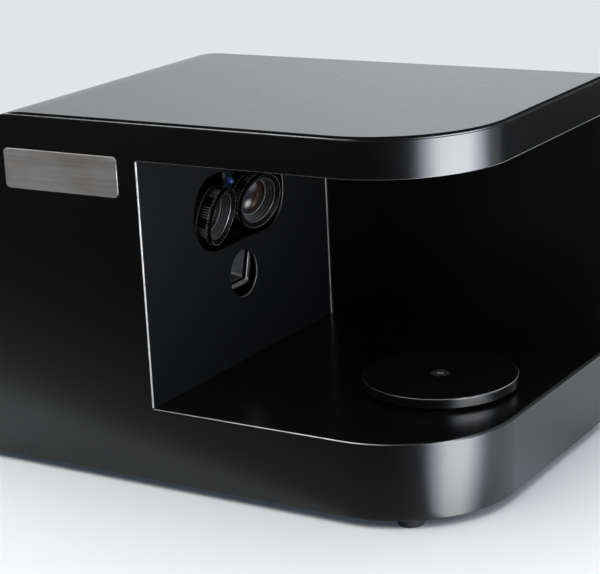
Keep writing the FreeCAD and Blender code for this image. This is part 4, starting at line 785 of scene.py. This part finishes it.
def lens_frame(side):
    """Frame of a lens: +X out of the front rim, +Z up the rim."""
    axis = lens_axis(side)
    place = Matrix.Translation((LENS_RIM[0], BAY_MIDDLE + side * LENS_RIM[1], LENS_RIM[2]))
    return place @ Matrix((axis, *lens_sides(axis))).transposed().to_4x4()


def new_piece(name, mesh, material, body):
    """Piece of the scene that rides on a body of the frame."""
    piece = bpy.data.objects.new(name, mesh)
    scene.collection.objects.link(piece)
    mesh.materials.append(material)
    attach(piece, body)
    return piece


def finished_mesh(made, name):
    """Mesh of a bmesh, its faces turned outwards; the bmesh is freed."""
    mesh = bpy.data.meshes.new(name)
    bmesh.ops.recalc_face_normals(made, faces=made.faces)
    made.to_mesh(mesh)
    made.free()
    return mesh


def bridge(made, first, second):
    """Faces between two closed loops of as many vertices each."""
    count = len(first)
    for place in range(count):
        after = (place + 1) % count
        made.faces.new((first[place], first[after], second[after], second[place]))


def ring_of(profile_at, steps, frame_matrix, name):
    """Mesh swept round the frame's X axis; profile_at(angle) gives a closed list of (x, radius)."""
    made = bmesh.new()
    loops = []
    for index in range(steps):
        angle = 2 * math.pi * index / steps
        points = [Vector((x, radius * math.sin(angle), radius * math.cos(angle)))
                  for x, radius in profile_at(angle)]
        loops.append([made.verts.new(frame_matrix @ point) for point in points])
    for index in range(steps):
        bridge(made, loops[index], loops[(index + 1) % steps])
    return finished_mesh(made, name)


def grip(side, name, material):
    """Knurled grip: groups of fine ribs along the ring, with plain lands between them."""
    groups, ribs, group_arc, phase = 8, 5, math.radians(25.0), math.radians(289.0)
    front, front_radius = GRIP_FRONT
    rear, rear_radius = GRIP_REAR
    sunk, above = 0.0006, 0.00004  # how far the band reaches into the ring and out of it
    rib_arc = group_arc / ribs

    def profile_at(angle):
        """Section of the band, raised where a rib lies at this angle."""
        offset = (angle - phase + group_arc / 2) % (2 * math.pi / groups)
        height = 0.0
        if offset < group_arc:
            height = RIB_HEIGHT * max(0.0, 1 - abs(2 * ((offset / rib_arc) % 1.0) - 1) * 1.4)
        rise = height + above
        return [
            (front, front_radius - sunk), (front, front_radius + rise * 0.6),
            (front - 0.0003, front_radius + rise), (rear + 0.0004, rear_radius + rise),
            (rear, rear_radius + rise * 0.5), (rear, rear_radius - sunk)]

    mesh = ring_of(profile_at, 1080, lens_frame(side), name)
    return new_piece(name, mesh, material, name.replace("_grip", "_focus"))


# ------------------------------------------------------------------ screws
def cross_screw(made, x, z):
    """Pan-head screw, its shank in the rear cover and its cross recess cut in the head."""
    steps = 40

    def ring(radius, height):
        """Round loop of corners at a height above the cover."""
        angles = [2 * math.pi * index / steps for index in range(steps)]
        return [made.verts.new((x + radius * math.cos(angle), BACK + height,
                                z + radius * math.sin(angle))) for angle in angles]

    def cross(arm, height):
        """Cross-shaped loop of corners at a height above the cover."""
        half = RECESS_HALF_WIDTH
        outline = [(half, arm), (half, half), (arm, half), (arm, -half), (half, -half),
                   (half, -arm), (-half, -arm), (-half, -half), (-arm, -half), (-arm, half),
                   (-half, half), (-half, arm)]
        return [made.verts.new((x + across, BACK + height, z + rise)) for across, rise in outline]

    rings = [ring(radius, height) for radius, height in SCREW_PROFILE]
    for first, second in zip(rings, rings[1:]):
        bridge(made, first, second)
    made.faces.new(rings[0])
    mouth = cross(RECESS_ARM, SCREW_PROFILE[-1][1])
    pit = cross(RECESS_ARM * PIT_SCALE, RECESS_FLOOR)
    bridge(made, mouth, pit)
    made.faces.new(pit)
    edges = []
    for loop in (rings[-1], mouth):
        for place, corner in enumerate(loop):
            after = loop[(place + 1) % len(loop)]
            edges.append(made.edges.get((corner, after)) or made.edges.new((corner, after)))
    bmesh.ops.triangle_fill(made, edges=edges, use_beauty=True)


def cover_screws():
    """The six screws of the rear cover, with cross recesses, in place of the plain ones."""
    made = bmesh.new()
    for x in COVER_SCREW_X:
        for z in COVER_SCREW_Z:
            cross_screw(made, x, z)
    mesh = finished_mesh(made, "cover_screw_heads")
    piece = new_piece("cover_screw_heads", mesh, cross_heads(), "housing")
    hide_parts("rear_cover_screws")


# ------------------------------------------------------------------ dressing
def dress():
    """A material for every node of the frame, and the pieces that only the scene has."""
    finishes = {
        "black_satin_paint": satin_paint("black_satin_paint", 0.0010, 0.0018, housing_highlights_and_shade),
        "bare_aluminium": metal("bare_aluminium", 0.48, 0.66, 0.36, (1, 0.99, 0.98)),
        "black_anodised": metal("black_anodised", 0.016, 0.028, 0.36, (1, 1, 1.06), metallic=0.5),
        "window_glass": window_glass(),
        "rubber": plastic("rubber", 0.003, 0.008, 0.66, depth=0.00005),
        "steel": turned_steel(),
        "zinc_steel": metal("zinc_steel", 0.5, 0.66, 0.3, (0.97, 0.99, 1.0)),
        "black_plastic": plastic("black_plastic", 0.012, 0.022, 0.45),
        "board_green": circuit_board(),
        "belt_rubber": plastic("belt_rubber", 0.01, 0.016, 0.6, grain=2200.0),
        "blue_lamp": lit_lamp(),
    }
    slots = {part["node"]: part["material_slot"] for part in frame["record"]["subparts"]}
    brackets = ("optics_shelf", "front_bench_leg", "rear_bench_leg",
                "front_camera_wedge", "rear_camera_wedge", "lamp_bracket")
    chosen = dict.fromkeys(brackets, blackened_steel())
    chosen["nameplate"] = brushed_plate()
    chosen["optics_panel"] = satin_paint(
        "panel_paint", 0.0046, 0.0062, panel_edge_highlights, rough=0.36, Specular_IOR_Level=0.12)
    chosen["projector_bezel"] = hood_finish()
    chosen["switch_rocker"] = marked_rocker()
    chosen["turntable_disc"] = disc_finish()
    for side, end, glint, lit_low_tone in ((-1, "front", 0.25, 0.15), (1, "rear", 1.0, 0.24)):
        lens = (tuple(lens_frame(side).translation), tuple(lens_axis(side)))
        chosen[f"{end}_lens_glass"] = coated_glass(f"{end}_coated_glass", *lens, glint)
        chosen[f"{end}_lens_barrel"] = barrel_finish(f"{end}_barrel_finish", *lens, lit_low_tone)
        chosen[f"{end}_focus_ring"] = focus_finish(f"{end}_focus_finish", *lens)
        ribbed = grip_finish(f"{end}_grip_finish", *lens)
        grip(side, f"{end}_grip", ribbed)
    cover_screws()
    for name, node in nodes.items():
        material = chosen.get(name) or finishes[slots[name]]
        node.data.materials.clear()
        node.data.materials.append(material)


scene.view_settings.view_transform = "Standard"
place_camera()
sky()
backdrop()
dark_cards()
glow_card()
lights()
dress()
